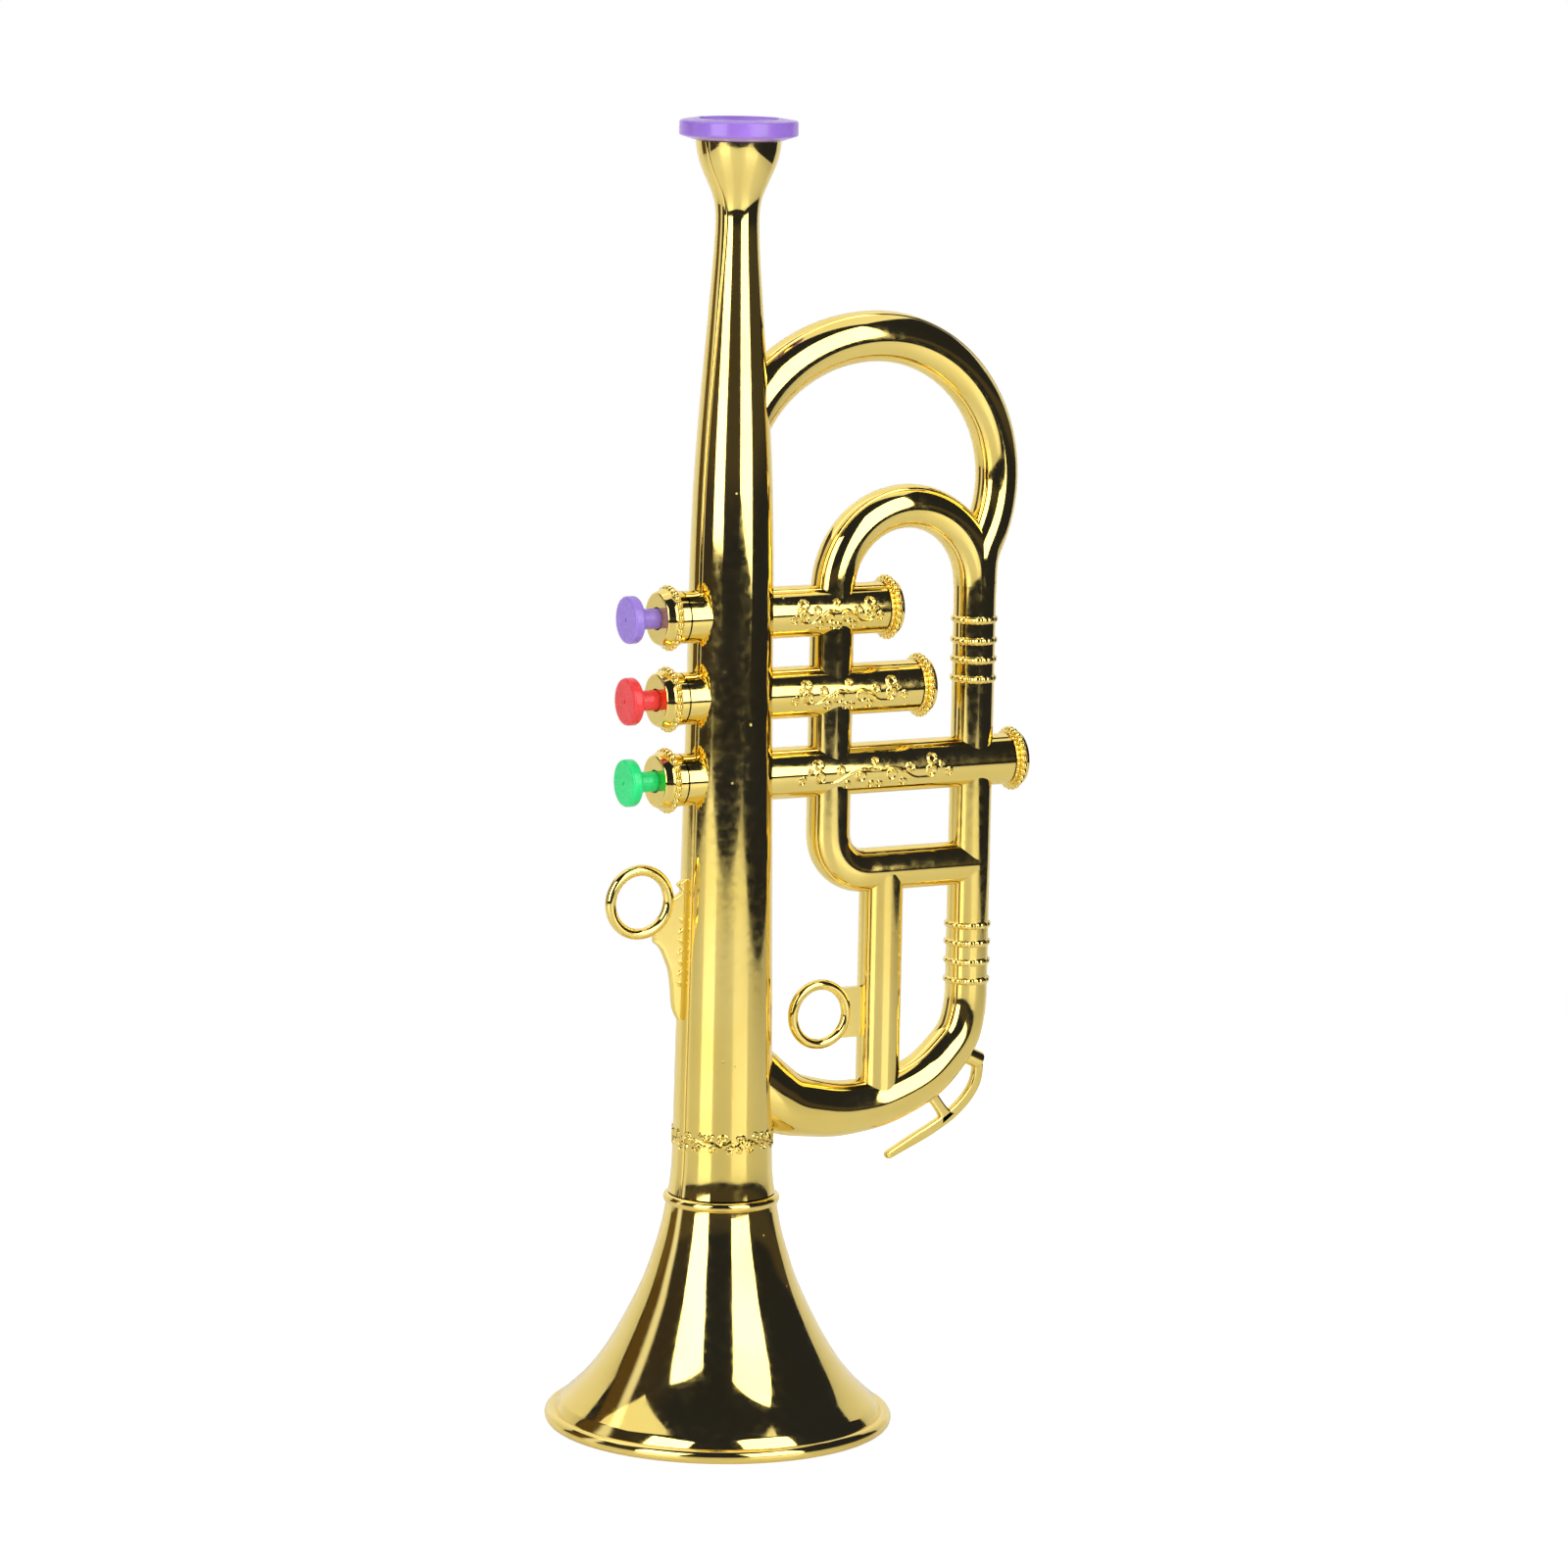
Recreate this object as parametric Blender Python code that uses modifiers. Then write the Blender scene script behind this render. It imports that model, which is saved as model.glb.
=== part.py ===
"""Toy trumpet of gilt plastic, standing on its bell.

A hollow body in two glued half shells carries a separate bell, a coloured mouthpiece rim,
three sprung keys in their valve casings, end caps, two finger rings and a dummy water key.
Inside the main tube a reed block holds four brass reeds; a rubber pad on each key's stem
covers the slot of one reed until the key is pressed, and the fourth reed always sounds.

Units are metres and +Z is up along the main tube. Sizes below are measured from the main
tube's axis (reach, along X) and from the bell's rim plane (height, along Z). The front of
the trumpet faces -Y, the keys point to -X and the bows lie at +X.
"""
import math

import bmesh
import bpy
from mathutils import Matrix, Vector

MM = 0.001

# General sizes
OVERALL_HEIGHT = 370 * MM
BODY_WALL = 1.5 * MM
FIT_GAP = 0.3 * MM
CUT_OVERRUN = 6 * MM
# The two half shells meet in front of the tubes' middle plane
PARTING_SETBACK = 3.3 * MM
MERGE_DISTANCE = 0.01 * MM

# Main tube, from the mouthpiece cup down to the collar
CUP_RADIUS = 12 * MM
NECK_RADIUS = 6.05 * MM
VALVE_TUBE_RADIUS = 11.8 * MM
TAIL_RADIUS = 14.3 * MM
FOOT_RADIUS = 15.2 * MM
CUP_DEPTH = 21 * MM
LEADPIPE_LENGTH = 98 * MM
TAIL_HEIGHT = 76 * MM
# Each pair is (share of the length, share of the change in radius)
CUP_SHARES = ((0, 0), (0.19, 0.05), (0.33, 0.22), (0.57, 0.60), (0.76, 0.86), (0.90, 0.97), (1, 1))
LEADPIPE_SHARES = ((0, 0), (0.09, 0.06), (0.23, 0.24), (0.37, 0.42), (0.51, 0.61), (0.64, 0.77),
                   (0.79, 0.90), (1, 1))
VALVE_TUBE_SHARES = ((0, 0), (0.22, 0.14), (0.41, 0.34), (0.62, 0.57), (0.82, 0.80), (1, 1))
FOOT_SHARES = ((0, 0), (0.65, 0.45), (1, 1))

# Mouthpiece rim
RIM_RADIUS = 16.5 * MM
RIM_THICKNESS = 6 * MM
RIM_BORE_RADIUS = 11 * MM
RIM_EDGE = 0.7 * MM
RIM_CHAMFER_HEIGHT = 1.2 * MM
RIM_SEAT_MARGIN = 1 * MM
RIM_SPIGOT_LENGTH = 6 * MM
RIM_WALL = 1.3 * MM

# Bell, with the collar bead where it meets the body
BELL_RADIUS = 49.5 * MM
BELL_THROAT_RADIUS = 15.7 * MM
BELL_WALL = 1.8 * MM
RIM_BEAD_RADIUS = 2 * MM
RIM_FLAT_WIDTH = 2.6 * MM
COLLAR_HEIGHT = 65.2 * MM
COLLAR_RADIUS = 16.6 * MM
COLLAR_BEAD_RADIUS = 1.5 * MM
BELL_SPIGOT_LENGTH = 8 * MM
BELL_SPIGOT_WALL = 1.4 * MM
# Each pair is (share of the collar height, share of the growth from throat to rim)
BELL_FLARE_SHARES = ((0.959, 0.009), (0.865, 0.044), (0.753, 0.107), (0.641, 0.180), (0.528, 0.278),
                     (0.413, 0.391), (0.294, 0.527), (0.205, 0.655), (0.140, 0.775), (0.095, 0.872))

# Valve casings, with their caps and keys
MIDDLE_KEY_HEIGHT = 0.5641892 * OVERALL_HEIGHT
KEY_PITCH = 0.0618919 * OVERALL_HEIGHT
CASING_RADIUS = 7.35 * MM
CASING_KEY_REACH = 15.7 * MM
SADDLE_RADIUS = 7.9 * MM
SADDLE_REACH = 9.6 * MM
SADDLE_HEIGHT = 2.4 * MM
FIRST_CAP_REACH = 49.5 * MM
SECOND_CAP_REACH = 60.7 * MM
THIRD_CAP_REACH = 91.6 * MM
END_DISC_RADIUS = 8 * MM
END_DISC_HEIGHT = 2.1 * MM
END_DISC_EDGE = 0.6 * MM
CAP_BEAD_RADIUS = 9.25 * MM
CAP_BEAD_WIDTH = 1.5 * MM
CAP_LIP_HEIGHT = 1.2 * MM
CAP_LIP_RADIUS = 7.9 * MM
CAP_SPIGOT_LENGTH = 5 * MM
VALVE_CAP_HEIGHT = 7.3 * MM
VALVE_CAP_FACE_RADIUS = 7.2 * MM
VALVE_CAP_CONE_RADIUS = 8.2 * MM
VALVE_CAP_CONE_HEIGHT = 2.4 * MM
VALVE_CAP_RING_DROP = 3.6 * MM
VALVE_CAP_COLLAR_RADIUS = 7.5 * MM
VALVE_CAP_COLLAR_HEIGHT = 1.3 * MM

KEY_RADIUS = 6.67 * MM
KEY_THICKNESS = 3.15 * MM
KEY_EDGE = 0.9 * MM
KEY_CLEAR_HEIGHT = 6.45 * MM
KEY_STEM_RADIUS = 2.9 * MM
KEY_STEM_SHOULDER_DEPTH = 6.3 * MM
PUSH_ROD_RADIUS = 1.5 * MM
ROD_HEAD_RADIUS = 2.6 * MM
ROD_HEAD_THICKNESS = 0.8 * MM

# Key springs
SPRING_COIL_RADIUS = 2.5 * MM
SPRING_WIRE_RADIUS = 0.3 * MM
SPRING_TURNS = 5
SPRING_POINTS_PER_TURN = 8

# Reed block, pads and reeds inside the main tube
REED_PLATE_THICKNESS = 2 * MM
REED_END_WALL = 2 * MM
REED_BLOCK_HEAD_MARGIN = 13.5 * MM
REED_BLOCK_FOOT_MARGIN = 12.5 * MM
PAD_THICKNESS = 1.5 * MM
PAD_HALF_HEIGHT = 8 * MM
PAD_BACK_REACH = 5.8 * MM
PAD_FRONT_REACH = 3.4 * MM
PAD_EDGE = 0.5 * MM
REED_OFFSET = 4 * MM
OPEN_REED_OFFSET = 6 * MM
REED_TONGUE_HALF_LENGTH = 6.5 * MM
REED_TONGUE_WIDTH = 1.2 * MM
REED_THICKNESS = 0.3 * MM
REED_BASE_LENGTH = 4 * MM
REED_BASE_WIDTH = 3 * MM
REED_STAKE_RADIUS = 0.6 * MM
REED_STAKE_HEIGHT = 1.1 * MM

# Bows and tubes at the side of the main tube
RIGHT_LEG_REACH = 78.7 * MM
RIGHT_LEG_RADIUS = 6.05 * MM
BIG_BOW_RADIUS = 41 * MM
BIG_BOW_REACH = 44 * MM
BIG_BOW_HEIGHT = 0.7235135 * OVERALL_HEIGHT
BIG_BOW_ROOT_SPAN = 45.5 * MM
BIG_BOW_START_ANGLE = math.radians(160)
BIG_BOW_START_RADIUS = 7.7 * MM
BIG_BOW_TOP_RADIUS = 7.2 * MM
SMALL_BOW_RADIUS = 23.2 * MM
SMALL_BOW_HEIGHT = 0.6406757 * OVERALL_HEIGHT
SMALL_TUBE_RADIUS = 6.25 * MM
SMALL_TUBE_END_RADIUS = 5.75 * MM
CROSS_TUBE_HEIGHT = 0.4225676 * OVERALL_HEIGHT
CROSS_BEND_RADIUS = 11 * MM
STRUT_REACH = 50 * MM
STRUT_RADIUS = 6.3 * MM
STRUT_END_DROP = 3 * MM
LEG_END_HEIGHT = 0.3189189 * OVERALL_HEIGHT
LOWER_BOW_HEIGHT = 0.2364865 * OVERALL_HEIGHT
LOWER_BOW_RADIUS = 8.05 * MM
# Each triple is (share of the right leg's reach, share of the bow's drop, share of the swelling)
LOWER_BOW_SHARES = ((1.0, 1.0, 0.0), (0.978, 0.656, 0.20), (0.912, 0.43, 0.425), (0.835, 0.246, 0.575),
                    (0.724, 0.111, 0.675), (0.60, 0.02, 0.75), (0.47, 0.0, 1.0), (0.345, 0.046, 1.275),
                    (0.254, 0.098, 1.625), (0.178, 0.213, 1.975), (0.102, 0.393, 1.925),
                    (0.045, 0.557, 1.475))

# Finger ring beside the main tube
FINGER_RING_REACH = 27.3 * MM
FINGER_RING_HEIGHT = 0.4104054 * OVERALL_HEIGHT
FINGER_RING_RADIUS = 9.05 * MM
FINGER_RING_THICKNESS_RADIUS = 1.57 * MM
RING_WEB_THICKNESS = 2.2 * MM
FINGER_WEB_LENGTH = 36 * MM
FINGER_WEB_START_ANGLE = math.radians(-75)
FINGER_WEB_END_ANGLE = math.radians(6)
# Each pair is (share of the ring's reach, share of the web's length below the ring's centre)
FINGER_WEB_SHARES = ((0.607, -0.021), (0.529, -0.0625), (0.575, -0.118), (0.487, -0.1625), (0.2, -0.14),
                     (0.2, 1.0), (0.543, 0.957), (0.571, 0.925), (0.599, 0.876), (0.625, 0.718),
                     (0.654, 0.5625), (0.695, 0.482), (0.7425, 0.401), (0.841, 0.318))

# Thumb ring beside the strut tube
THUMB_RING_REACH = 0.614 * STRUT_REACH
THUMB_RING_HEIGHT = 0.3118919 * OVERALL_HEIGHT
THUMB_RING_RADIUS = 8.6 * MM
THUMB_RING_THICKNESS_RADIUS = 1.5 * MM
THUMB_TAB_HALF_HEIGHT = 7.2 * MM
THUMB_TAB_ANGLE = math.radians(50)

# Dummy water key under the lower bow, measured from the nipple's foot
NIPPLE_REACH = 76.5 * MM
NIPPLE_HEIGHT = 0.2735135 * OVERALL_HEIGHT
NIPPLE_LENGTH = 8.4 * MM
NIPPLE_RADIUS = 2.6 * MM
NIPPLE_ANGLE = math.radians(-26)
LEVER_SPAN = 30.2 * MM
LEVER_DROP = 25.6 * MM
LEVER_HALF_WIDTH = 1.6 * MM
LEVER_TIP_HALF_WIDTH = 1.1 * MM
LEVER_THICKNESS = 2.4 * MM
POST_HALF_WIDTH = 2.3 * MM
# Each pair is (share of the span inwards, share of the drop) from the nipple's outer end
POST_SHARES = ((0.57, 0.24), (0.33, 0.62))
LEVER_SHARES = ((0.0, 0.0), (0.014, 0.196), (0.11, 0.39), (0.276, 0.57), (0.48, 0.712), (0.76, 0.867),
                (1.0, 1.0))

# Facets
MAIN_SEGMENTS = 28
BELL_SEGMENTS = 32
CASING_SEGMENTS = 20
BORE_SEGMENTS = 24
KEY_SEGMENTS = 16
SMALL_SEGMENTS = 8
RING_SEGMENTS = 22
RING_SIDES = 8
OUTER_TUBE_RESOLUTION = 5
INNER_TUBE_RESOLUTION = 3
WIRE_RESOLUTION = 1
BIG_BOW_STEPS = 14
SMALL_BOW_STEPS = 10
BEND_STEPS = 3
COLLAR_BEAD_STEPS = 3
RIM_BEAD_STEPS = 5
BEAD_STEP_ANGLE = math.radians(45)
WEB_ARC_STEPS = 6
SHARP_ANGLE = math.radians(35)
QUARTER_TURN = math.radians(90)

# Colours: (red, green, blue), roughness and metallic share
GILT = ("gilt_plastic", (0.83, 0.62, 0.21), 0.12, 1.0)
PURPLE = ("purple_plastic", (0.42, 0.24, 0.78), 0.3, 0.0)
RED = ("red_plastic", (0.86, 0.06, 0.07), 0.3, 0.0)
GREEN = ("green_plastic", (0.03, 0.62, 0.22), 0.3, 0.0)
BLACK_RUBBER = ("black_rubber", (0.03, 0.03, 0.03), 0.7, 0.0)
STEEL = ("spring_steel", (0.62, 0.63, 0.65), 0.3, 1.0)
BRASS = ("reed_brass", (0.80, 0.62, 0.30), 0.3, 1.0)
WHITE_PLASTIC = ("white_plastic", (0.85, 0.85, 0.82), 0.5, 0.0)

# Sizes worked out from those above
RIM_SEAT_HEIGHT = OVERALL_HEIGHT - RIM_THICKNESS
CUP_TOP_HEIGHT = RIM_SEAT_HEIGHT - FIT_GAP
NECK_HEIGHT = CUP_TOP_HEIGHT - CUP_DEPTH
LEADPIPE_FOOT_HEIGHT = NECK_HEIGHT - LEADPIPE_LENGTH
BELL_TOP_HEIGHT = COLLAR_HEIGHT + COLLAR_BEAD_RADIUS
BODY_FOOT_HEIGHT = BELL_TOP_HEIGHT + FIT_GAP
KEY_HEIGHTS = (MIDDLE_KEY_HEIGHT + KEY_PITCH, MIDDLE_KEY_HEIGHT, MIDDLE_KEY_HEIGHT - KEY_PITCH)
CAP_REACHES = (FIRST_CAP_REACH, SECOND_CAP_REACH, THIRD_CAP_REACH)
CASING_BORE_RADIUS = CASING_RADIUS - BODY_WALL
SPIGOT_RADIUS = CASING_BORE_RADIUS - FIT_GAP
KEY_GUIDE_RADIUS = KEY_STEM_RADIUS + FIT_GAP
VALVE_CAP_SEAT = CASING_KEY_REACH + FIT_GAP
VALVE_CAP_FACE = VALVE_CAP_SEAT + VALVE_CAP_HEIGHT
KEY_UNDERSIDE = VALVE_CAP_FACE + KEY_CLEAR_HEIGHT
STEM_SHOULDER = VALVE_CAP_FACE - KEY_STEM_SHOULDER_DEPTH
PLATE_FACE = REED_PLATE_THICKNESS / 2
LEFT_LEG_REACH = RIGHT_LEG_REACH - 2 * SMALL_BOW_RADIUS
REED_BLOCK_HEAD = KEY_HEIGHTS[0] + REED_BLOCK_HEAD_MARGIN
REED_BLOCK_FOOT = KEY_HEIGHTS[-1] - REED_BLOCK_FOOT_MARGIN
SLOT_HALF_WIDTH = REED_TONGUE_WIDTH / 2 + FIT_GAP
SLOT_HALF_LENGTH = REED_TONGUE_HALF_LENGTH + FIT_GAP
REED_FACE = PLATE_FACE + FIT_GAP
# The origin lies under the middle of the whole trumpet, between the bell and the third cap
GREATEST_REACH = max(CAP_REACHES) + END_DISC_HEIGHT
AXIS_OFFSET = (BELL_RADIUS - GREATEST_REACH) / 2


def clear_scene():
    """Remove every object that the scene holds."""
    for existing in list(bpy.data.objects):
        bpy.data.objects.remove(existing, do_unlink=True)


def new_collection(name):
    """Make a collection in the scene."""
    collection = bpy.data.collections.new(name)
    bpy.context.scene.collection.children.link(collection)
    return collection


def material(finish):
    """Principled material from a finish: name, colour, roughness and metallic share."""
    name, colour, roughness, metallic = finish
    if name in bpy.data.materials:
        return bpy.data.materials[name]
    made = bpy.data.materials.new(name)
    made.use_nodes = True
    shader = made.node_tree.nodes["Principled BSDF"]
    shader.inputs["Base Color"].default_value = (*colour, 1)
    shader.inputs["Roughness"].default_value = roughness
    shader.inputs["Metallic"].default_value = metallic
    made.diffuse_color = (*colour, 1)
    return made


def place(name, data, finish=None):
    """Add an object under the trumpet's frame: a finished piece, or a hidden cutter."""
    piece = bpy.data.objects.new(name, data)
    collection = PIECES if finish else CUTTERS
    collection.objects.link(piece)
    piece.parent = FRAME
    if finish:
        data.materials.clear()
        data.materials.append(material(finish))
    else:
        piece.hide_render = True
        piece.display_type = "WIRE"
    return piece


def mesh_from(bm, name):
    """Turn a bmesh into a mesh with its faces pointing out."""
    bmesh.ops.recalc_face_normals(bm, faces=bm.faces)
    mesh = bpy.data.meshes.new(name)
    bm.to_mesh(mesh)
    bm.free()
    return mesh


def frozen(source, name, finish=None):
    """Replace an object by the mesh it evaluates to, with loose caps welded."""
    depsgraph = bpy.context.evaluated_depsgraph_get()
    mesh = bpy.data.meshes.new_from_object(source.evaluated_get(depsgraph))
    bm = bmesh.new()
    bm.from_mesh(mesh)
    bpy.data.meshes.remove(mesh)
    bmesh.ops.remove_doubles(bm, verts=bm.verts, dist=MERGE_DISTANCE)
    bmesh.ops.dissolve_degenerate(bm, edges=bm.edges, dist=MERGE_DISTANCE)
    kept_matrix = source.matrix_basis.copy()
    bpy.data.objects.remove(source, do_unlink=True)
    piece = place(name, mesh_from(bm, name), finish)
    piece.matrix_basis = kept_matrix
    return piece


def smooth(piece):
    """Shade a round piece smooth, with its corners kept sharp."""
    piece.data.shade_smooth()
    piece.data.set_sharp_from_angle(angle=SHARP_ANGLE)
    return piece


def boolean(piece, operation, other):
    """Add an exact Boolean with another object to a piece."""
    modifier = piece.modifiers.new(operation.title(), "BOOLEAN")
    modifier.operation = operation
    modifier.solver = "EXACT"
    modifier.object = other
    return piece


def joined(name, pieces, finish=None):
    """Union of several closed objects as one mesh."""
    first = pieces[0]
    for other in pieces[1:]:
        boolean(first, "UNION", other)
    return frozen(first, name, finish)


def cut(piece, others):
    """Subtract several cutters from a piece."""
    for other in others:
        boolean(piece, "DIFFERENCE", other)
    return piece


def cone(name, start, end, start_radius, end_radius, segments=SMALL_SEGMENTS, finish=None):
    """Closed cone or cylinder between two points."""
    start = Vector(start)
    run = Vector(end) - start
    turn = Vector((0, 0, 1)).rotation_difference(run).to_matrix().to_4x4()
    matrix = Matrix.Translation(start + run / 2) @ turn
    bm = bmesh.new()
    bmesh.ops.create_cone(bm, cap_ends=True, segments=segments, radius1=start_radius,
                          radius2=end_radius, depth=run.length, matrix=matrix)
    return place(name, mesh_from(bm, name), finish)


def box(name, low, high, finish=None):
    """Closed box between two corners."""
    low = Vector(low)
    size = Vector(high) - low
    matrix = Matrix.Translation(low + size / 2) @ Matrix.Diagonal((*size, 1))
    bm = bmesh.new()
    bmesh.ops.create_cube(bm, size=1, matrix=matrix)
    return place(name, mesh_from(bm, name), finish)


def turned(name, outline, segments, finish=None, closed=True):
    """Solid turned about its own Z axis, from (radius, height) points down its outer side."""
    mesh = bpy.data.meshes.new(name)
    vertices = [(radius, 0, height) for radius, height in outline]
    edges = [(index, index + 1) for index in range(len(outline) - 1)]
    if closed:
        edges.append((len(outline) - 1, 0))
    mesh.from_pydata(vertices, edges, [])
    piece = place(name, mesh, finish)
    screw = piece.modifiers.new("Turned", "SCREW")
    screw.steps = segments
    screw.render_steps = segments
    screw.use_merge_vertices = True
    screw.merge_threshold = MERGE_DISTANCE
    return piece


def tube(name, points, radii, resolution, finish=None):
    """Closed round tube along points, with a radius at each point."""
    curve = bpy.data.curves.new(name, "CURVE")
    curve.dimensions = "3D"
    curve.bevel_depth = radii[0]
    curve.bevel_resolution = resolution
    curve.use_fill_caps = True
    spline = curve.splines.new("POLY")
    spline.points.add(len(points) - 1)
    for control, point, radius in zip(spline.points, points, radii):
        control.co = (*point, 1)
        control.radius = radius / radii[0]
    return frozen(place(name, curve), name, finish)


def plate(name, outlines, thickness):
    """Flat plate in the XZ plane, centred on Y = 0, from (x, z) outlines; later ones are holes."""
    curve = bpy.data.curves.new(name, "CURVE")
    curve.dimensions = "2D"
    curve.fill_mode = "BOTH"
    curve.extrude = thickness / 2
    for outline in outlines:
        spline = curve.splines.new("POLY")
        spline.points.add(len(outline) - 1)
        spline.use_cyclic_u = True
        for control, (across, up) in zip(spline.points, outline):
            control.co = (across, up, 0, 1)
    flat = place(name, curve)
    flat.rotation_euler = (QUARTER_TURN, 0, 0)
    return frozen(flat, name)


def circle_points(centre, radius, start, end, steps):
    """Points (x, z) along an arc, from one angle to another."""
    angles = [start + (end - start) * step / steps for step in range(steps + 1)]
    return [(centre[0] + radius * math.cos(a), centre[1] + radius * math.sin(a)) for a in angles]


def upright(points):
    """Points (x, z) as vectors in the trumpet's middle plane."""
    return [Vector((across, 0, up)) for across, up in points]


def stations(start, end, shares):
    """Stations (radius, height) that blend from one (radius, height) to another."""
    (start_radius, start_height), (end_radius, end_height) = start, end
    return [(start_radius + (end_radius - start_radius) * growth,
             start_height + (end_height - start_height) * run) for run, growth in shares]


def main_stations():
    """The main tube's outside as (radius, height), from the cup's lip down to the foot."""
    neck = (NECK_RADIUS, NECK_HEIGHT)
    valve_top = (VALVE_TUBE_RADIUS, LEADPIPE_FOOT_HEIGHT)
    tail = (TAIL_RADIUS, TAIL_HEIGHT)
    foot = (FOOT_RADIUS, BODY_FOOT_HEIGHT)
    cup = stations(neck, (CUP_RADIUS, CUP_TOP_HEIGHT), CUP_SHARES)[:0:-1]
    leadpipe = stations(neck, valve_top, LEADPIPE_SHARES)[:-1]
    valve_tube = stations(valve_top, tail, VALVE_TUBE_SHARES)
    return cup + leadpipe + valve_tube, stations(tail, foot, FOOT_SHARES)[1:]


def tube_radius_at(height):
    """Outer radius of the main tube at a height above its foot flare."""
    upper, _ = main_stations()
    for (top_radius, top), (low_radius, low) in zip(upper, upper[1:]):
        if low <= height <= top:
            share = (height - low) / (top - low)
            return low_radius + (top_radius - low_radius) * share
    return TAIL_RADIUS


def main_solid(name, growth, segments, open_ends=False):
    """The main tube as a solid whose radius is changed by a growth, with or without its flare."""
    upper, foot = main_stations()
    outline = [(radius + growth, height) for radius, height in upper]
    if open_ends:
        outline.insert(0, (outline[0][0], CUP_TOP_HEIGHT + CUT_OVERRUN))
        outline.append((outline[-1][0], BODY_FOOT_HEIGHT - CUT_OVERRUN))
    else:
        outline += [(radius + growth, height) for radius, height in foot]
    top, bottom = outline[0][1], outline[-1][1]
    return turned(name, [(0, top)] + outline + [(0, bottom)], segments, closed=False)


def bow_path():
    """Centreline and radii from the main tube round the big bow, down the leg and back."""
    end_angle = -math.acos((RIGHT_LEG_REACH - BIG_BOW_REACH) / BIG_BOW_RADIUS)
    path, radii = [], []
    for step in range(BIG_BOW_STEPS + 1):
        angle = BIG_BOW_START_ANGLE + (end_angle - BIG_BOW_START_ANGLE) * step / BIG_BOW_STEPS
        rooted = math.cos(angle) < 0
        span = BIG_BOW_ROOT_SPAN if rooted else BIG_BOW_RADIUS
        side_radius = BIG_BOW_START_RADIUS if rooted else RIGHT_LEG_RADIUS
        path.append((BIG_BOW_REACH + span * math.cos(angle),
                     BIG_BOW_HEIGHT + BIG_BOW_RADIUS * math.sin(angle)))
        radii.append(BIG_BOW_TOP_RADIUS + (side_radius - BIG_BOW_TOP_RADIUS) * math.cos(angle) ** 2)
    drop = LEG_END_HEIGHT - LOWER_BOW_HEIGHT
    swelling = LOWER_BOW_RADIUS - RIGHT_LEG_RADIUS
    for across, up, swell in LOWER_BOW_SHARES:
        path.append((RIGHT_LEG_REACH * across, LOWER_BOW_HEIGHT + drop * up))
        radii.append(RIGHT_LEG_RADIUS + swelling * swell)
    return path, radii


def small_bow_path():
    """Centreline and radii of the small bow: over the top, down the left leg and across."""
    centre = RIGHT_LEG_REACH - SMALL_BOW_RADIUS
    over = circle_points((centre, SMALL_BOW_HEIGHT), SMALL_BOW_RADIUS, 0, math.pi, SMALL_BOW_STEPS)
    bend_centre = (LEFT_LEG_REACH + CROSS_BEND_RADIUS, CROSS_TUBE_HEIGHT + CROSS_BEND_RADIUS)
    bend = circle_points(bend_centre, CROSS_BEND_RADIUS, math.pi, 1.5 * math.pi, BEND_STEPS)
    path = over + bend + [(RIGHT_LEG_REACH, CROSS_TUBE_HEIGHT)]
    radii = [SMALL_TUBE_RADIUS] * len(path)
    radii[0] = radii[-1] = SMALL_TUBE_END_RADIUS
    return path, radii


def strut(name, growth, end_drop, segments):
    """Strut tube from the lower bow up to the cross tube."""
    radius = STRUT_RADIUS + growth
    return cone(name, (STRUT_REACH, 0, LOWER_BOW_HEIGHT), (STRUT_REACH, 0, CROSS_TUBE_HEIGHT - end_drop),
                radius, radius, segments)


def side_tubes(kind, growth, resolution):
    """The bows and their legs as one list of solids whose radii are changed by a growth."""
    tubes = []
    for name, (path, radii) in ((kind + "_bow", bow_path()), (kind + "_small_bow", small_bow_path())):
        tubes.append(tube(name, upright(path), [radius + growth for radius in radii], resolution))
    return tubes


def casing_end(reach):
    """Where a casing ends under its end cap."""
    return reach - CAP_BEAD_WIDTH / 2 - CAP_LIP_HEIGHT - FIT_GAP


def key_casing(number, height):
    """Outside of a casing on its key side, flared into a saddle where it leaves the main tube."""
    saddle_foot = SADDLE_REACH - SADDLE_HEIGHT
    outline = [(0, CASING_KEY_REACH), (CASING_RADIUS, CASING_KEY_REACH),
               (CASING_RADIUS, SADDLE_REACH + SADDLE_HEIGHT), (SADDLE_RADIUS, SADDLE_REACH),
               (SADDLE_RADIUS + SADDLE_HEIGHT / 2, saddle_foot), (0, saddle_foot)]
    casing = turned(f"key_casing_{number}", outline, CASING_SEGMENTS, closed=False)
    return place_on_casing(casing, height, -1)


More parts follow.
